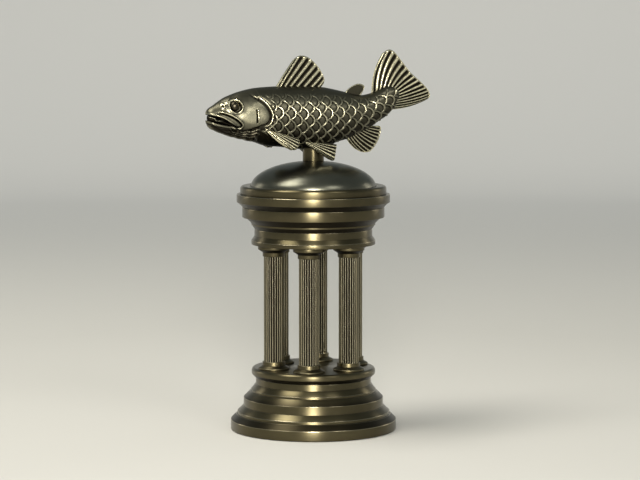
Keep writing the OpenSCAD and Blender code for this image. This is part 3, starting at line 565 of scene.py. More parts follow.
def hollowness(height, rounds):
    # how far each point of a relief lies above or below its surroundings
    soft = height.copy()
    for _ in range(rounds):
        padded = np.pad(soft, 1, mode="edge")
        soft = (padded[:-2, 1:-1] + padded[2:, 1:-1] + padded[1:-1, :-2] + padded[1:-1, 2:] + 2 * soft) / 6
    return height - soft


facingShadeLook = {"under": (-0.35, 0.5), "back": (0.35, 0.85), "rubbedUnder": 0.5}


def paintFacingShade(bright, rubbedAndHighlight, outward):
    # painted shade: the metal is painted darker where it faces down and along the back, where it faces up;
    # rubbed edges come through it, less so where it faces down
    down = trout["underside"] * smoothStep(-outward[..., 2], *facingShadeLook["under"])
    back = trout["back"] * smoothStep(outward[..., 2], *facingShadeLook["back"])
    faces = np.clip(bright, 0, 1) * (1 - down - back)
    return np.clip(faces + (1 - faces) * rubbedAndHighlight * (1 - facingShadeLook["rubbedUnder"] * down), 0, 1)


grid = {"weld": 0.002, "sliver": 0.0005, "fineSteps": 2000, "depthToWidth": 1.5}


def gridPiece(name, points, patinaAndPaintedLight, pointed=True):
    # a grid primitive bent into shape; its seam closes, and each end draws in to one point
    if pointed:
        first, last = points[:1] * 0 + points[0].mean(0), points[:1] * 0 + points[-1].mean(0)
        points = np.concatenate([first, points, last])
        patinaAndPaintedLight = np.concatenate([patinaAndPaintedLight[:1], patinaAndPaintedLight, patinaAndPaintedLight[-1:]])
    deselectAll()
    columns, rows = points.shape[0] - 1, points.shape[1] - 1
    bpy.ops.mesh.primitive_grid_add(x_subdivisions=columns, y_subdivisions=rows, size=2)
    piece = nameIt(name)
    flat = pointsOf(piece)
    i = np.rint((flat[:, 0] + 1) / 2 * columns).astype(int)
    j = np.rint((flat[:, 1] + 1) / 2 * rows).astype(int)
    setPoints(piece, points[i, j])
    setPatinaAndPaintedLight(piece, patinaAndPaintedLight[i, j])
    activate(piece)
    bpy.ops.object.mode_set(mode="EDIT")
    bpy.ops.mesh.select_all(action="SELECT")
    bpy.ops.mesh.remove_doubles(threshold=grid["weld"] * mm)
    bpy.ops.mesh.dissolve_degenerate(threshold=grid["sliver"] * mm)
    bpy.ops.mesh.select_all(action="SELECT")
    bpy.ops.mesh.normals_make_consistent(inside=False)
    bpy.ops.object.mode_set(mode="OBJECT")
    return piece


def evenAngles(count):
    # angles that step evenly round a section of the trout
    fine = np.linspace(0, 2 * np.pi, grid["fineSteps"] + 1)
    steps = np.hypot(np.sin(fine[1:]), grid["depthToWidth"] * np.cos(fine[1:]))
    length = np.concatenate([[0], np.cumsum(steps)])
    return np.interp(np.linspace(0, length[-1], count + 1), length, fine)


def evenShares(rows, start, count):
    # shares that step evenly along the middle of a loft, and the length up to each
    fine = np.linspace(start, 1, grid["fineSteps"] + 1)
    middle = curveThrough(rows, fine)[:, :2]
    length = np.concatenate([[0], np.cumsum(np.linalg.norm(np.diff(middle, axis=0), axis=1))])
    even = np.linspace(0, length[-1], count + 1)
    return np.interp(even, length, fine), even


# Scales overlap like slates: each is a round face, a dark groove behind it and a broad rubbed rim.
# Pairs are the values at the shoulder and at the tail; a span is where a part starts and is full
scales = {"pitch": (10.4, 11.7), "across": (10.5, 9.0), "length": 130, "first": 2.1, "middle": 3.3,
          "rows": range(-5, 5), "reach": 5.9, "half": 0.565, "ahead": 0.7,
          "rise": 2.4, "crown": 0.6, "sunk": 1.2, "drop": 0.35, "dropSpan": (-0.3, 0),
          "rim": (1.2, 1.5), "rimRise": 0.3, "rimSpan": (-0.3, 0.15),
          "groove": 0.55, "grooveIn": 1.8, "grooveWidth": 0.34, "grooveSpan": (-0.4, 0),
          # the wedge is a sunk notch just outside each rim, painted dark as a shadow
          "notchShadow": (0.9, 2.2), "wedgeDepth": 0.45, "wedgeFront": (-0.45, -0.1), "wedgeRear": (-0.75, -0.3),
          "wedgeSide": (-0.3, 0.3)}


def scaleRelief(along, girth):
    # the height of the scales, how much of each point is rim, and how dark it is painted: patina in the
    # grooves, and painted shadow in a notch just outside each rim
    height, rim, dark, notchShadow = (np.zeros(along.shape) for _ in range(4))
    place, k = scales["first"], 0
    while place < scales["length"]:
        share = place / scales["length"]
        pitch = scales["pitch"][0] + (scales["pitch"][1] - scales["pitch"][0]) * share
        across = scales["across"][0] + (scales["across"][1] - scales["across"][0]) * share
        reach = scales["reach"]
        for row in scales["rows"]:
            x = (along - place) / reach
            y = (girth - scales["middle"] - (row + 0.5 * (k % 2)) * across) / (across * scales["half"])
            d = np.hypot(np.where(x < 0, scales["ahead"] * x, x), y)
            # painted shadow: a dark notch just behind each scale's rear rim
            beyond = (1 - smoothStep((d - 1) * reach, *scales["notchShadow"])) * (d >= 1)
            beyond = beyond * smoothStep(x, *scales["wedgeFront"]) * smoothStep(-x, *scales["wedgeRear"])
            notchShadow = np.maximum(notchShadow, beyond * smoothStep(-y, *scales["wedgeSide"]))
            near = d < 1
            inward = (1 - d[near]) * reach
            band = (1 - smoothStep(inward, *scales["rim"])) * smoothStep(x[near], *scales["rimSpan"])
            channel = bell(inward - scales["grooveIn"], scales["grooveWidth"])
            channel = channel * smoothStep(x[near], *scales["grooveSpan"])
            z = scales["rise"] * (0.5 + 0.5 * x[near]) + scales["crown"] * (1 - y[near] ** 2)
            z = z + scales["rimRise"] * band - scales["drop"] * smoothStep(-inward, *scales["dropSpan"])
            z = z - scales["groove"] * channel
            above = z > height[near]
            for field, value in ((height, z), (rim, band), (dark, channel)):
                field[near] = np.where(above, value, field[near])
        place += pitch / 2
        k += 1
    notchShadow = notchShadow * (1 - rim)
    return height - scales["sunk"] - scales["wedgeDepth"] * notchShadow, rim, np.maximum(dark, notchShadow)


# The trunk starts under the gill cover, with a raised collar behind the cover's edge, and the scales fade
# out towards the back, the belly, the chest and the tail. A fade is (degrees from, degrees to, share).
# The collar and the grooves beside it are (distance behind the cover, half width, height)
trunk = {"along": 372, "around": 244, "under": (-62, 1.8, 18.6, 12.9, 0), "start": 0.45,
         "girthSteps": 180, "shoulder": -52, "fadeUp": ((16, 40, 0.65), (44, 54, 0.35)),
         "fadeDown": ((45, 65, 0.4), (68, 78, 0.6)), "tailSpan": (71.5, 73.5),
         "clear": 3.0, "clearAbove": 3.5, "clearSpan": (8, 14), "clearFade": 1.4,
         "chestLine": (-10.5, -0.42, -46), "chestSpan": (0, 4), "chestAhead": (22, 30),
         "gillTop": (0.02, 0.12), "gillFoot": (-0.62, -0.5), "collar": (2.1, 0.8, 1.2),
         "collarFront": (0.5, 0.5, -0.6), "collarRear": (3.6, 0.5, -0.5),
         "tuck": 1.6, "tuckSpan": (52.2, 53.6), "tuckGill": 0.9, "tuckGillSpan": (0.2, 1.4), "tuckFrom": -40,
         # the rims' painted highlight: stronger where the flank faces down, dimmer where it faces up
         "lowSpan": (-0.1, 0.4), "highSpan": (0.25, 0.75), "paintedHighlight": (0.5, 0.78), "paintedHighlightTopDim": 0.5,
         "rimSpan": (0.05, 0.6), "darkSpan": (0.05, 0.7), "seam": (0.4, 0.8), "collarShine": (2.1, 0.7),
         "collarDim": 0.6, "hollow": 0.9, "hollowRounds": 10, "darkest": 0.95}


def girthOf(section, folded):
    # the way round the section from its side to each angle, in millimetres
    fine = np.linspace(0, np.pi / 2, trunk["girthSteps"] + 1)
    steps = np.hypot(section[3] * np.sin(fine[1:]), section[2] * np.cos(fine[1:]))
    length = np.concatenate([[0], np.cumsum(steps)]) * fine[1]
    return np.sign(folded) * np.interp(np.abs(folded), fine, length)


def scaleShare(u, w, angle, slope, behindGill):
    # 1 where the scales stand in full, 0 where the skin is smooth
    amounts = []
    for fades in (trunk["fadeUp"], trunk["fadeDown"]):
        amounts.append(1 - sum(part * smoothStep(slope, low, high) for low, high, part in fades))
    amount = np.where(np.sin(angle) > 0, *amounts)
    clear = trunk["clear"] + trunk["clearAbove"] * smoothStep(w, *trunk["clearSpan"])
    amount = amount * smoothStep(behindGill, clear, clear + trunk["clearFade"])
    drop, lean, middle = trunk["chestLine"]
    chest = smoothStep(-w + drop + lean * (u - middle), *trunk["chestSpan"])
    chest = chest * smoothStep(-u, *trunk["chestAhead"])
    return amount * (1 - chest) * (1 - smoothStep(u, *trunk["tailSpan"]))


def trunkPiece():
    rows = [trunk["under"]] + trout["trunk"]
    shares, length = evenShares(rows, trunk["start"] / (len(rows) - 1), trunk["along"])
    angles = evenAngles(trunk["around"])
    share, angle = np.meshgrid(shares, angles, indexing="ij")
    base = skin(rows, share, angle)
    u, w = base[..., 0], base[..., 2]
    sections = curveThrough(rows, shares)
    folded = np.arcsin(np.clip(np.sin(angles), -1, 1))
    girth = np.array([girthOf(section, folded) for section in sections])
    slope = np.degrees(np.abs(folded))[None, :] * np.ones_like(share)
    behindGill, gillShare = fromLine(u, w, trout["gillEdge"])
    amount = scaleShare(u, w, angle, slope, behindGill)
    fromShoulder = length[:, None] + 0 * share - np.interp(trunk["shoulder"], sections[:, 0], length)
    height, rim, dark = scaleRelief(fromShoulder, girth)
    collarPart = smoothStep(gillShare, *trunk["gillTop"]) * smoothStep(-gillShare, *trunk["gillFoot"])
    relief = amount * height
    for at, halfWidth, rise in (trunk["collar"], trunk["collarFront"], trunk["collarRear"]):
        relief = relief + rise * bell(behindGill - at, halfWidth) * collarPart
    ahead = smoothStep(-behindGill, *trunk["tuckGillSpan"]) * (u < trunk["tuckFrom"])
    relief = relief - trunk["tuck"] * smoothStep(-u, *trunk["tuckSpan"]) - trunk["tuckGill"] * ahead
    outward = normalsOf(base)
    # painted highlight: the rims are painted brighter where the flank faces down and dimmer where it faces
    # up; the collar is dimmer on top
    low = smoothStep(-outward[..., 2], *trunk["lowSpan"])
    high = smoothStep(outward[..., 2], *trunk["highSpan"])
    level, under = trunk["paintedHighlight"]
    paintedHighlight = level * (1 - trunk["paintedHighlightTopDim"] * high) + (under - level) * low
    collar = bell(behindGill - trunk["collarShine"][0], trunk["collarShine"][1]) * collarPart
    rubbedAndHighlight = np.maximum(paintedHighlight * rim * smoothStep(amount, *trunk["rimSpan"]),
                        collar * (1 - trunk["collarDim"] * high))
    # darkness: the gill seam, the scales' groove patina and their painted shadow notches
    seam = bell(behindGill - trunk["seam"][0], trunk["seam"][1]) * collarPart
    darkness = np.maximum(seam, dark * smoothStep(amount, *trunk["darkSpan"]))
    bright = trout["open"] + trunk["hollow"] * hollowness(relief, trunk["hollowRounds"])
    bright = paintFacingShade(bright * (1 - trunk["darkest"] * darkness), rubbedAndHighlight, outward)
    return gridPiece("trunk_cast", toWorld(base + outward * relief[..., None]), bright)


keep(trunkPiece(), fishBronze, ["fish_trunk"], smoothAngle=60)
print("trunk made")

# Ridges and grooves of the head. Each follows a line of the trout, or rings a spot: how far beside it,
# its half width, its height, how bright it is rubbed, partly as a painted highlight, and where it fades in at
# the line's start, at its end and on the way to the snout
headForms = {
    "coverGroove": {"line": "gillEdge", "at": 0.8, "half": 0.7, "height": -1.1, "start": (0, 0.12),
                    "ahead": (50, 54)},
    "foldEdge": {"line": "preopercle", "at": 0.9, "half": 0.6, "height": 0.6, "rubbedAndHighlight": 1,
                 "start": (0, 0.12), "end": (-1, -0.88)},
    "foldGroove": {"line": "preopercle", "at": -0.1, "half": 0.45, "height": -0.9, "start": (0, 0.12),
                   "end": (-1, -0.88)},
    "maxillaEdge": {"line": "maxilla", "at": 1.2, "half": 0.7, "height": 0.8, "rubbedAndHighlight": 1,
                    "start": (0, 0.12)},
    "maxillaGroove": {"line": "maxilla", "at": 0, "half": 0.5, "height": -1.3, "start": (0, 0.12)},
    "lipEdge": {"line": "upperLip", "at": 0.7, "half": 0.6, "height": 0.5, "rubbedAndHighlight": 0.9,
                "ahead": (70.5, 72)},
    "nostrilRim": {"line": "nostril", "at": 1.4, "half": 0.6, "height": 0.5, "rubbedAndHighlight": 0.9},
    "nostrilHole": {"line": "nostril", "at": 0, "half": 0.7, "height": -0.9},
    "jawEdge": {"line": "lowerLip", "at": -0.8, "half": 0.65, "height": 0.7, "rubbedAndHighlight": 0.9,
                "ahead": (69.5, 71.5)},
    "jawGroove": {"line": "lowerLip", "at": -2.1, "half": 0.5, "height": -0.9, "ahead": (69.5, 71.5)},
    "jawHollow": {"line": "jawLine", "at": 0, "half": 0.6, "height": -0.7, "start": (0, 0.1)},
    "chinEdge": {"line": "chin", "at": 0.3, "half": 0.6, "height": 0.5},
    # a painted highlight along the chin's edge, with no height
    "chinPaintedHighlight": {"line": "chin", "at": 0.3, "half": 0.5, "height": 0, "rubbedAndHighlight": 0.7},
    "chinGroove": {"line": "chin", "at": 1.8, "half": 0.5, "height": -0.5, "ahead": (55, 58)},
    # these stand over the eye's socket, which smooths away the others
    "eyeRing": {"line": "eye", "at": 5.1, "half": 0.55, "height": 0.7, "rubbedAndHighlight": 0.8, "overSocket": True},
    "eyeFront": {"line": "eye", "at": 6.4, "half": 0.9, "height": 0.3, "rubbedAndHighlight": 0.25, "ahead": (72, 75),
                 "overSocket": True},
    "browEdge": {"line": "brow", "at": 0, "half": 0.8, "height": 0.6, "rubbedAndHighlight": 0.8, "start": (0, 0.3),
                 "end": (-1, -0.7), "overSocket": True},
}
cover = {"height": 1.1, "reach": 8, "turnIn": 0.6, "turnInSpan": (-2.2, 0.2), "start": (0, 0.12),
         "past": (-0.1, 0.5), "tuck": 2.2, "tuckSpan": (-51.6, -50.4), "tuckPast": (0.1, 0.7),
         "seam": (-0.1, 0.95), "foldSeam": (-0.3, 0.6)}
# the cheek's shine is a painted highlight
cheek = {"swell": {"at": (-62.5, 0.8), "reach": (6.5, 7), "height": 0.9},
         "paintedHighlight": {"at": (-58.5, 0.5), "reach": (13, 8), "height": 1.3}, "clearOfEye": (5.5, 9)}
upperJaw = {"height": 0.6, "belowMaxilla": (0.3, 1), "aboveLip": (0, 0.6), "ahead": (66.8, 68),
            "behind": (-89, -85)}
socket = {"smooth": (4, 6), "radius": 4.5, "depth": 2.4, "wall": (0, 0.5)}
throat = {"past": (0.8, 1.6), "below": -4, "ahead": (48, 53), "behind": (72, 76), "folds": 4.5,
          "wander": 0.16, "wanderRate": 0.9, "height": 0.6, "sunk": 0.3, "aboveChin": (0, 1),
          "rubbedAndHighlight": 0.35, "rubbedSpan": (0.4, 0.9)}
snout = {"smooth": (87.5, 91)}


def fadeOf(u, share, look):
    fade = 1
    for place, span in ((share, "start"), (-share, "end"), (-u, "ahead")):
        if span in look:
            fade = fade * smoothStep(place, *look[span])
    return fade


def headRelief(u, w):
    # the forms in millimetres out from the smooth skin, where they are rubbed bright, with the cheek's
    # painted highlight among these, and the dark seams of the gill cover and the fold before it
    beside, share = {}, {}
    for look in headForms.values():
        line = look["line"]
        if line in ("eye", "nostril"):
            beside[line], share[line] = np.hypot(u - trout[line][0], w - trout[line][1]), 0
        elif line not in beside:
            beside[line], share[line] = fromLine(u, w, trout[line])
    gill, eye, chin = beside["gillEdge"], beside["eye"], beside["chin"]
    side = smoothStep(share["gillEdge"], *cover["start"])
    past = smoothStep(gill, *cover["past"])
    curl = bell(np.minimum(gill, 0), cover["reach"])
    curl = curl - cover["turnIn"] * smoothStep(gill, *cover["turnInSpan"]) ** 2
    jaw = smoothStep(-beside["maxilla"], *upperJaw["belowMaxilla"])
    jaw = jaw * smoothStep(beside["upperLip"], *upperJaw["aboveLip"])
    jaw = jaw * smoothStep(-u, *upperJaw["ahead"]) * smoothStep(u, *upperJaw["behind"])
    relief = cover["height"] * curl * side * (1 - past) + upperJaw["height"] * jaw
    relief = relief + swell(u, w, cheek["swell"])
    # painted highlight on the cheek
    rubbedAndHighlight = swell(u, w, cheek["paintedHighlight"]) * (1 - past) * smoothStep(eye, *cheek["clearOfEye"])
    smooth = smoothStep(eye, *socket["smooth"])
    relief = relief * smooth - socket["depth"] * smoothStep(socket["radius"] - eye, *socket["wall"])
    for look in headForms.values():
        form = bell(beside[look["line"]] - look["at"], look["half"]) * fadeOf(u, share[look["line"]], look)
        relief = relief + look["height"] * form * (1 if "overSocket" in look else smooth)
        rubbedAndHighlight = np.maximum(rubbedAndHighlight, look.get("rubbedAndHighlight", 0) * form)
    # the folds of the throat run between the gill cover and the chin
    part = smoothStep(gill, *throat["past"]) * (w < throat["below"])
    part = part * smoothStep(-u, *throat["ahead"]) * (1 - smoothStep(-u, *throat["behind"]))
    depth = gill / np.maximum(gill + np.abs(chin), 0.1)
    wander = throat["wander"] * np.sin(throat["wanderRate"] * u)
    ripple = np.cos(2 * np.pi * (throat["folds"] * depth + wander))
    folds = throat["height"] * ripple * smoothStep(chin, *throat["aboveChin"])
    relief = relief + part * (folds - throat["sunk"])
    rubbedAndHighlight = np.maximum(rubbedAndHighlight, throat["rubbedAndHighlight"] * part * smoothStep(ripple, *throat["rubbedSpan"]))
    relief = relief * (1 - smoothStep(-u, *snout["smooth"]))
    # behind the shoulder only the gill cover shows; the rest goes under the trunk
    under = smoothStep(u, *cover["tuckSpan"]) * smoothStep(gill, *cover["tuckPast"])
    foldSeam = bell(beside["preopercle"] - cover["foldSeam"][0], cover["foldSeam"][1])
    foldSeam = foldSeam * fadeOf(u, share["preopercle"], headForms["foldEdge"])
    seam = np.maximum(bell(gill - cover["seam"][0], cover["seam"][1]) * side, foldSeam)
    return relief - cover["tuck"] * under, rubbedAndHighlight, seam


# the cutters reach well past the fish on all sides but the lips, and a little behind their corner
mouth = {"cutHalf": 25, "cutFront": -100, "cutFoot": -30, "corner": 0.3, "cornerGap": 0.25, "lineSteps": 24,
         "ridgeHalf": 0.5, "ridgeRise": 0.5, "ridgeBright": 0.5}


def cutter(name, outline):
    # a flat outline in u and w, drawn out across the whole fish
    deselectAll()
    mesh = bpy.data.meshes.new(name)
    corners = np.array([(u, -mouth["cutHalf"], w) for u, w in outline])
    mesh.from_pydata([tuple(p) for p in toWorld(corners)], [], [list(range(len(outline)))])
    piece = bpy.data.objects.new(name, mesh)
    bpy.context.collection.objects.link(piece)
    activate(piece)
    bpy.ops.object.mode_set(mode="EDIT")
    bpy.ops.mesh.select_all(action="SELECT")
    yaw = math.radians(trout["yaw"])
    across = Vector((-math.sin(yaw), math.cos(yaw), 0)) * 2 * mouth["cutHalf"] * mm
    bpy.ops.mesh.extrude_region_move(TRANSFORM_OT_translate={"value": across})
    bpy.ops.mesh.select_all(action="SELECT")
    bpy.ops.mesh.normals_make_consistent(inside=False)
    bpy.ops.object.mode_set(mode="OBJECT")
    return piece


def loftPiece(name, rows, ridge=None, along=60, around=48):
    # a round-sectioned piece painted dark as the shade inside the mouth, with one raised and brighter line
    # where a ridge is given
    shares, angles = np.linspace(0, 1, along + 1), np.linspace(0, 2 * np.pi, around + 1)
    share, angle = np.meshgrid(shares, angles, indexing="ij")
    base = skin(rows, share, angle)
    raised = 0 * share
    if ridge:
        raised = bell(fromLine(base[..., 0], base[..., 2], ridge)[0], mouth["ridgeHalf"])
        base = base + normalsOf(base) * mouth["ridgeRise"] * raised[..., None]
    return gridPiece(name, toWorld(base), mouth["ridgeBright"] * raised)


headGrid = {"along": 210, "around": 250, "end": 0.22, "hollow": 1.3, "hollowRounds": 12, "darkest": 0.95,
            "rubbedSpan": (0, 0.3)}


def headAndJaw():
    # one skin makes both: the mouth is cut out of it, and the jaw is what lies below the lower lip
    shares, _ = evenShares(trout["head"], 0, headGrid["along"])
    shares = shares[shares <= 1 - headGrid["end"] / (len(trout["head"]) - 1)]
    share, angle = np.meshgrid(shares, evenAngles(headGrid["around"]), indexing="ij")
    base = skin(trout["head"], share, angle)
    relief, rubbedAndHighlight, seam = headRelief(base[..., 0], base[..., 2])
    outward = normalsOf(base)
    bright = trout["open"] + headGrid["hollow"] * hollowness(relief, headGrid["hollowRounds"])
    bright = bright * (1 - headGrid["darkest"] * seam)
    rubbedAndHighlight = rubbedAndHighlight * (1 - seam) * smoothStep(bright, *headGrid["rubbedSpan"])
    points = toWorld(base + outward * relief[..., None])
    head = gridPiece("head_cast", points, paintFacingShade(bright, rubbedAndHighlight, outward))
    jaw = head.copy()
    jaw.data = head.data.copy()
    bpy.context.collection.objects.link(jaw)
    jaw.name = "jaw_cast"
    steps = np.linspace(0, 1, mouth["lineSteps"] + 1)
    upper = [tuple(p) for p in curveThrough(trout["upperLip"], steps)]
    lower = [tuple(p) for p in curveThrough(trout["lowerLip"], steps[::-1])]
    corner, front, foot = trout["lowerLip"][-1][0] + mouth["corner"], mouth["cutFront"], mouth["cutFoot"]
    gap = cutter("gap", upper + [(corner, lower[0][1]), (corner, foot), (front, foot)])
    corner -= mouth["cornerGap"]
    below = cutter("below", lower + [(front, foot), (corner, foot), (corner, lower[0][1])])
    cavity = loftPiece("cavity", trout["cavity"], along=24, around=32)
    for piece, operation, tool in ((head, "DIFFERENCE", gap), (head, "DIFFERENCE", cavity),
                                   (jaw, "INTERSECT", below), (jaw, "DIFFERENCE", cavity)):
        modify(piece, "BOOLEAN", operation=operation, object=tool, solver="EXACT")
    for piece in (gap, below, cavity):
        bpy.data.objects.remove(piece)
    return head, jaw


head, jaw = headAndJaw()
keep(head, fishBronze, ["fish_head"], smoothAngle=50)
keep(jaw, fishBronze, ["lower_jaw"], smoothAngle=50)
tongue = loftPiece("tongue_cast", trout["tongue"], trout["tongueEdge"])
keep(tongue, fishBronze, ["lower_jaw"], smoothAngle=50)
print("head and jaw made")

# painted light: each eye is painted lighter on its upper half and dark below
eyePaintedLight = {"flatness": 0.82, "dark": 0.12, "light": 0.85, "lightSpan": (-0.6, 0.1)}


def eyeball(name, side, node):
    deselectAll()
    u, w = trout["eye"]
    centre = toWorld(np.array([u, side * trout["eyeInset"], w]))
    bpy.ops.mesh.primitive_uv_sphere_add(segments=48, ring_count=32, radius=trout["eyeRadius"] * mm,
                                         location=tuple(centre), rotation=(math.pi / 2, 0, 0))
    piece = nameIt(name)
    bpy.ops.transform.resize(value=(1, eyePaintedLight["flatness"], 1))
    bpy.ops.object.transform_apply(location=False)
    # painted light: lighter above, darker below
    height = (pointsOf(piece)[:, 2] / mm - fishFloor - w) / trout["eyeRadius"]
    setPatinaAndPaintedLight(piece, eyePaintedLight["dark"] + eyePaintedLight["light"] * smoothStep(height, *eyePaintedLight["lightSpan"]))
    keep(piece, eyeBronze, [node], smoothAngle=80)


eyeball("left_eye_polished", -1, "left_eye")
eyeball("right_eye_polished", 1, "right_eye")

# Fins: lines run from the root to the free edge, the first and last along the fin's own edges and
# a ray on each of the others. Each is (root u, root w, tip u, tip w, bow), in millimetres

fins = {
    "dorsal_fin": [
        (-33, 22, -17.2, 43.8, 0.4), (-29.8, 22, -12.6, 46.8, 0.2), (-25.8, 22, -6.6, 46.4, 0.1),
        (-21, 22, -1.8, 43.8, 0), (-15.2, 22, 2.3, 40.4, 0), (-8.9, 22, 5.5, 36.6, 0),
        (-2.4, 21.8, 8, 32.4, -0.2), (3, 21.6, 9.4, 28.6, -0.3), (5.6, 21.4, 8.6, 25.2, -0.3)],
    "adipose_fin": [
        (27, 16.4, 30.5, 20.4, 0.2), (30, 16, 34.5, 23, 0.5), (33, 15.6, 38.5, 24.5, 0.6),
        (36, 15.3, 42.3, 24.3, 0.6), (38.5, 15, 45, 22.6, 0.3), (41, 14.8, 43.8, 19.6, -0.3)],
    "anal_fin": [
        (28.6, -17.6, 36.8, -26.6, -0.6), (30, -17, 41.8, -29, -0.9), (32, -16.4, 46.4, -29.6, -1),
        (34, -15.6, 50.3, -28.9, -1), (36, -14.8, 53.2, -26.4, -0.9), (38.1, -13.8, 55.3, -23.7, -0.8),
        (40.2, -12.8, 57, -20.9, -0.6), (42.3, -11.9, 58.3, -18.1, -0.5), (44.4, -10.9, 59.2, -15.3, -0.3),
        (46.3, -10, 59.7, -12.5, -0.1), (48.3, -9.1, 59.6, -10, 0), (49.5, -8.6, 58, -8.8, 0)],
    "tail_fin": [
        (51.5, 18.5, 61.6, 48.4, 2.6), (56, 20, 66.4, 51.1, 2.4), (59.2, 21, 71.2, 49.8, 2),
        (62.6, 21.8, 75.6, 45.3, 1.5), (66, 22, 79.4, 41, 1.1), (69.2, 21.6, 83, 36.8, 0.8),
        (71.6, 20.6, 86.6, 32.8, 0.5), (73, 19, 90.2, 29.8, 0.3), (74, 17.2, 94, 26.9, 0),
        (74.4, 15.2, 97.8, 23.7, -0.2), (74.4, 13.2, 100.8, 21, -0.4), (73.8, 11.2, 102.9, 18.4, -0.6),
        (72.8, 9.4, 104, 16, -0.9), (71.6, 7.6, 104.2, 14, -1.2), (70, 5.8, 103, 12.4, -1.5),
        (68, 3.6, 100, 10.9, -1.7)],
}
fleshy = "adipose_fin"

# The paired fins stand off the flank. Root: shares of the way along the trunk's rows, and angle round it.
# Lines are in shares of the root's length, back from its front, and of the fin's height, out from the body
pairedFins = {
    "pectoral_fin": {
        "place": (0.035, 0.085), "angle": 208, "roll": -125, "length": 7.3, "height": 14.5, "rays": 6,
        "lines": [
            (0, 0, 2.35, 0.93, 0.6), (0.08, 0, 2.8, 1, 0.5), (0.2, 0, 3.2, 1, 0.4),
            (0.35, 0, 3.5, 0.92, 0.3), (0.5, 0, 3.72, 0.78, 0.2), (0.65, 0, 3.88, 0.62, 0.1),
            (0.8, 0, 3.98, 0.46, 0), (0.92, 0, 4.02, 0.34, 0), (1, 0, 3.9, 0.23, 0)]},
    "pelvic_fin": {
        "place": (0.2215, 0.2415), "angle": 229, "roll": -118, "length": 4.7, "height": 15.7, "rays": 6,
        "lines": [
            (0, 0, 4.2, 0.93, 0.4), (0.1, 0, 4.7, 1, 0.3), (0.25, 0, 5.05, 0.98, 0.2),
            (0.4, 0, 5.3, 0.83, 0.1), (0.55, 0, 5.5, 0.67, 0), (0.7, 0, 5.68, 0.52, 0),
            (0.85, 0, 5.85, 0.37, 0), (0.95, 0, 6.02, 0.23, 0), (1, 0, 6.1, 0.12, 0)]},
}
finShape = {"web": 0.65, "ray": 0.8, "rayShare": 0.34, "fleshyRise": 0.35, "edge": 1.2, "tenon": 3.0,
            "crest": (0.38, 0.92), "rim": 1.1, "smallRim": 0.4, "rimSoft": (0.5, 0.3),
            "webBright": 0.06, "fleshyBright": (0.2, 0.95),
            "outSteps": 40, "raySteps": 12, "sideShares": (0, 0.04, 0.1, 0.2, 0.35)}


def finShares(rays):
    # shares across the fin, close together at both edges so that these come out round
    side = np.array(finShape["sideShares"]) / rays
    middle = np.linspace(0.5 / rays, 1 - 0.5 / rays, (rays - 1) * finShape["raySteps"])
    return np.concatenate([side, middle, 1 - side[::-1]])


def finSheet(lines, rays, rim):
    # the fin's flat shape, half its thickness there and how bright it is rubbed
    count = len(lines) - 1
    out = np.linspace(0, 1, finShape["outSteps"] + 1)
    across, out = np.meshgrid(finShares(count), out, indexing="ij")
    q = curveThrough(lines, across)
    chord = q[..., 2:4] - q[..., :2]
    length = np.linalg.norm(chord, axis=-1)
    normal = np.stack([-chord[..., 1], chord[..., 0]], -1) / length[..., None]
    bow = 4 * q[..., 4] * out * (1 - out)
    flat = q[..., :2] + chord * out[..., None] + normal * bow[..., None]
    spacing = np.linalg.norm(np.gradient(flat, axis=0), axis=-1) / np.gradient(across, axis=0) / count
    fromSide = np.minimum(across, 1 - across) * count * spacing
    nearest = np.minimum(fromSide, (1 - out) * length)
    raised = smoothStep(-nearest, -rim - finShape["rimSoft"][0], -rim + finShape["rimSoft"][1])
    dull, bright = finShape["fleshyBright"]
    top = finShape["fleshyRise"]
    if rays:
        wave = 0.5 + 0.5 * np.cos(2 * np.pi * across * rays)
        raised = np.maximum(raised, smoothStep(wave, *finShape["crest"]))
        dull, bright = finShape["webBright"], 1
        top = np.minimum(finShape["ray"], spacing * finShape["rayShare"])
    roundness = np.sqrt(1 - (1 - np.clip(nearest / finShape["edge"], 0, 1)) ** 2)
    thick = (finShape["web"] + top * raised) * roundness
    bright = dull + (bright - dull) * raised
    # the root is drawn back into the body, down to no thickness
    back = q[:, :1, :2] - chord[:, :1] / length[:, :1, None] * finShape["tenon"]
    flat = np.concatenate([back, flat], 1)
    thick = np.concatenate([0 * thick[:, :1], thick], 1)
    return flat, thick, np.concatenate([bright[:, :1], bright], 1)


def upright(a, b):
    return np.stack([a, 0 * a, b], -1)


def finPiece(name, lines, rays, rim, place=upright, facing=(0, 1, 0)):
    flat, thick, bright = finSheet(lines, rays, rim)
    middle = place(flat[..., 0], flat[..., 1])
    side = thick[..., None] * np.array(facing)
    both = np.concatenate([middle - side, (middle + side)[:, ::-1]], 1)
    return gridPiece(name, toWorld(both), np.concatenate([bright, bright[:, ::-1]], 1), pointed=False)


for node, lines in fins.items():
    rays = 0 if node == fleshy else len(lines) - 1
    piece = finPiece(node + "_cast", lines, rays, finShape["rim"])
    keep(piece, finBronze, [node], smoothAngle=60)

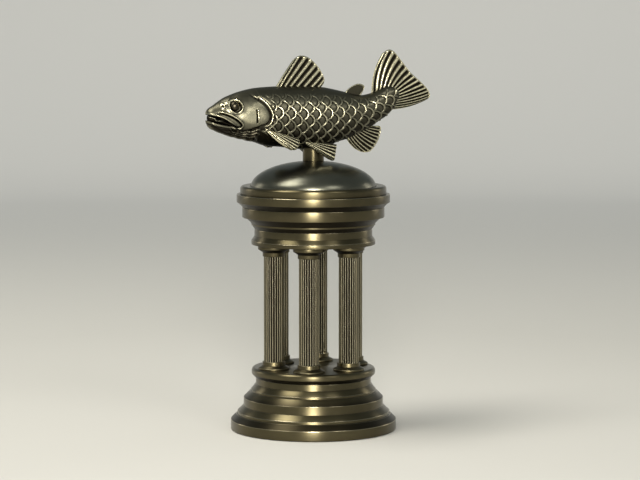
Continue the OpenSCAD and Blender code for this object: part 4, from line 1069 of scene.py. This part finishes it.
for kind, spec in pairedFins.items():
    roots = [skin(trout["trunk"], np.array(share), np.radians(spec["angle"])) for share in spec["place"]]
    run = (roots[1] - roots[0]) * (1, 0, 1)
    forward = run / np.linalg.norm(run)
    upward = np.array([-forward[2], 0, forward[0]])
    roll = math.radians(spec["roll"])
    outward = math.cos(roll) * np.array([0, 1, 0]) + math.sin(roll) * upward
    sizes = np.array([spec["length"], spec["height"], spec["length"], spec["height"], 1])
    for side, flip in (("left", 1), ("right", -1)):
        mirror = np.array([1, flip, 1])

        def onFlank(a, b):
            return (roots[0] + a[..., None] * forward + b[..., None] * outward) * mirror

        lines = np.array(spec["lines"]) * sizes
        piece = finPiece(f"{side}_{kind}_cast", lines, spec["rays"], finShape["smallRim"], onFlank,
                         np.cross(forward, outward) * mirror)
        keep(piece, finBronze, [f"{side}_{kind}"], smoothAngle=60)
print("fins made")

# Stage, lamps and camera

stage = {"floorColour": (0.66, 0.655, 0.64, 1), "radius": 3200, "flat": 2300, "middle": 20,
         "haze": 0.3, "hazeBand": (0.6, 2.6), "sky": (0.2, 0.22, 0.21, 1)}


def floorMaterial():
    # the far floor and its edge look as pale as the middle, without lighting anything
    colour = stage["floorColour"]
    material, tree, shader = newMaterial("pale floor", {"Base Color": colour, "Emission Color": colour,
                                                        "Roughness": 1.0, "Specular IOR Level": 0.0})
    place = tree.nodes.new("ShaderNodeTexCoord").outputs["Object"]
    reach = addNode(tree, "ShaderNodeVectorMath", {0: place}, operation="LENGTH").outputs["Value"]
    haze = ramped(tree, reach, stage["hazeBand"], (0, stage["haze"]))
    path = tree.nodes.new("ShaderNodeLightPath").outputs
    seen = path["Is Camera Ray"]
    for ray in ("Is Glossy Ray", "Is Transmission Ray"):
        seen = addNode(tree, "ShaderNodeMath", {0: seen, 1: path[ray]}, operation="MAXIMUM").outputs[0]
    glow = addNode(tree, "ShaderNodeMath", {0: haze, 1: seen}, operation="MULTIPLY").outputs[0]
    tree.links.new(glow, shader.inputs["Emission Strength"])
    return material


def paleFloor():
    # a wide round floor whose edge turns up all round
    bend = stage["radius"] - stage["flat"]
    outline = [*arc((stage["flat"], bend), bend, bend, start=0, end=-90, steps=16), (stage["middle"], 0)]
    floor = turn("paleFloor", outline, 0, "open", sides=96)
    selectPoints(floor, np.hypot(*pointsOf(floor)[:, :2].T) < 2 * stage["middle"] * mm)
    bpy.ops.mesh.edge_face_add()
    bpy.ops.mesh.select_all(action="SELECT")
    bpy.ops.mesh.normals_make_consistent(inside=True)
    bpy.ops.object.mode_set(mode="OBJECT")
    bpy.ops.object.shade_smooth()
    activate(floor)
    bpy.ops.object.transform_apply(location=True)
    floor.data.materials.append(floorMaterial())


def softLamp(name, place, target, size, power, colour, spread):
    deselectAll()
    bpy.ops.object.light_add(type="AREA", location=place)
    lamp = bpy.context.object
    lamp.name = name
    lamp.data.shape = "RECTANGLE"
    lamp.data.size, lamp.data.size_y = size
    lamp.data.energy = power
    lamp.data.color = colour
    lamp.data.spread = math.radians(spread)
    lamp.rotation_euler = (Vector(target) - Vector(place)).to_track_quat("-Z", "Y").to_euler()


paleFloor()
aim = (0, 0, 0.16)
lamps = {
    "frontStrip": {"place": (0.0, -2.3, 0.68), "size": (0.48, 0.84), "power": 7.5, "spread": 60,
                   "colour": (1, 0.95, 0.84)},
    "frontLeft": {"place": (-1.17, -0.62, 1.96), "size": (0.9, 1.0), "power": 24, "spread": 180,
                  "colour": (1, 0.95, 0.83)},
    "topLeft": {"place": (-0.72, 0.1, 1.9), "size": (0.62, 0.62), "power": 9, "spread": 180,
                "colour": (1, 0.96, 0.86)},
    "rightHigh": {"place": (1.19, -1.41, 1.4), "size": (0.7, 0.7), "power": 6, "spread": 180,
                  "colour": (1, 0.96, 0.87)},
    "rearRight": {"place": (1.9, 1.2, 0.7), "size": (0.5, 0.9), "power": 0.8, "spread": 90,
                  "colour": (1, 0.92, 0.78)},
    "rearLeft": {"place": (-1.9, 1.2, 0.7), "size": (0.5, 0.9), "power": 0.8, "spread": 90,
                 "colour": (1, 0.92, 0.78)},
}
for name, lamp in lamps.items():
    softLamp(name, lamp["place"], aim, lamp["size"], lamp["power"], lamp["colour"], lamp["spread"])
print("stage and lamps set")

world = bpy.data.worlds.new("studio")
bpy.context.scene.world = world
world.use_nodes = True
world.node_tree.nodes["Background"].inputs["Color"].default_value = stage["sky"]
world.node_tree.nodes["Background"].inputs["Strength"].default_value = 1.0

camera = {"lens": 135, "place": (0.0052, -1.8702, 0.32456), "pitch": 5.3686}
deselectAll()
bpy.ops.object.camera_add(location=camera["place"], rotation=(math.radians(90 - camera["pitch"]), 0, 0))
bpy.context.object.data.lens = camera["lens"]
bpy.context.object.data.sensor_width = 36
bpy.context.scene.camera = bpy.context.object
bpy.context.scene.view_settings.view_transform = "Standard"
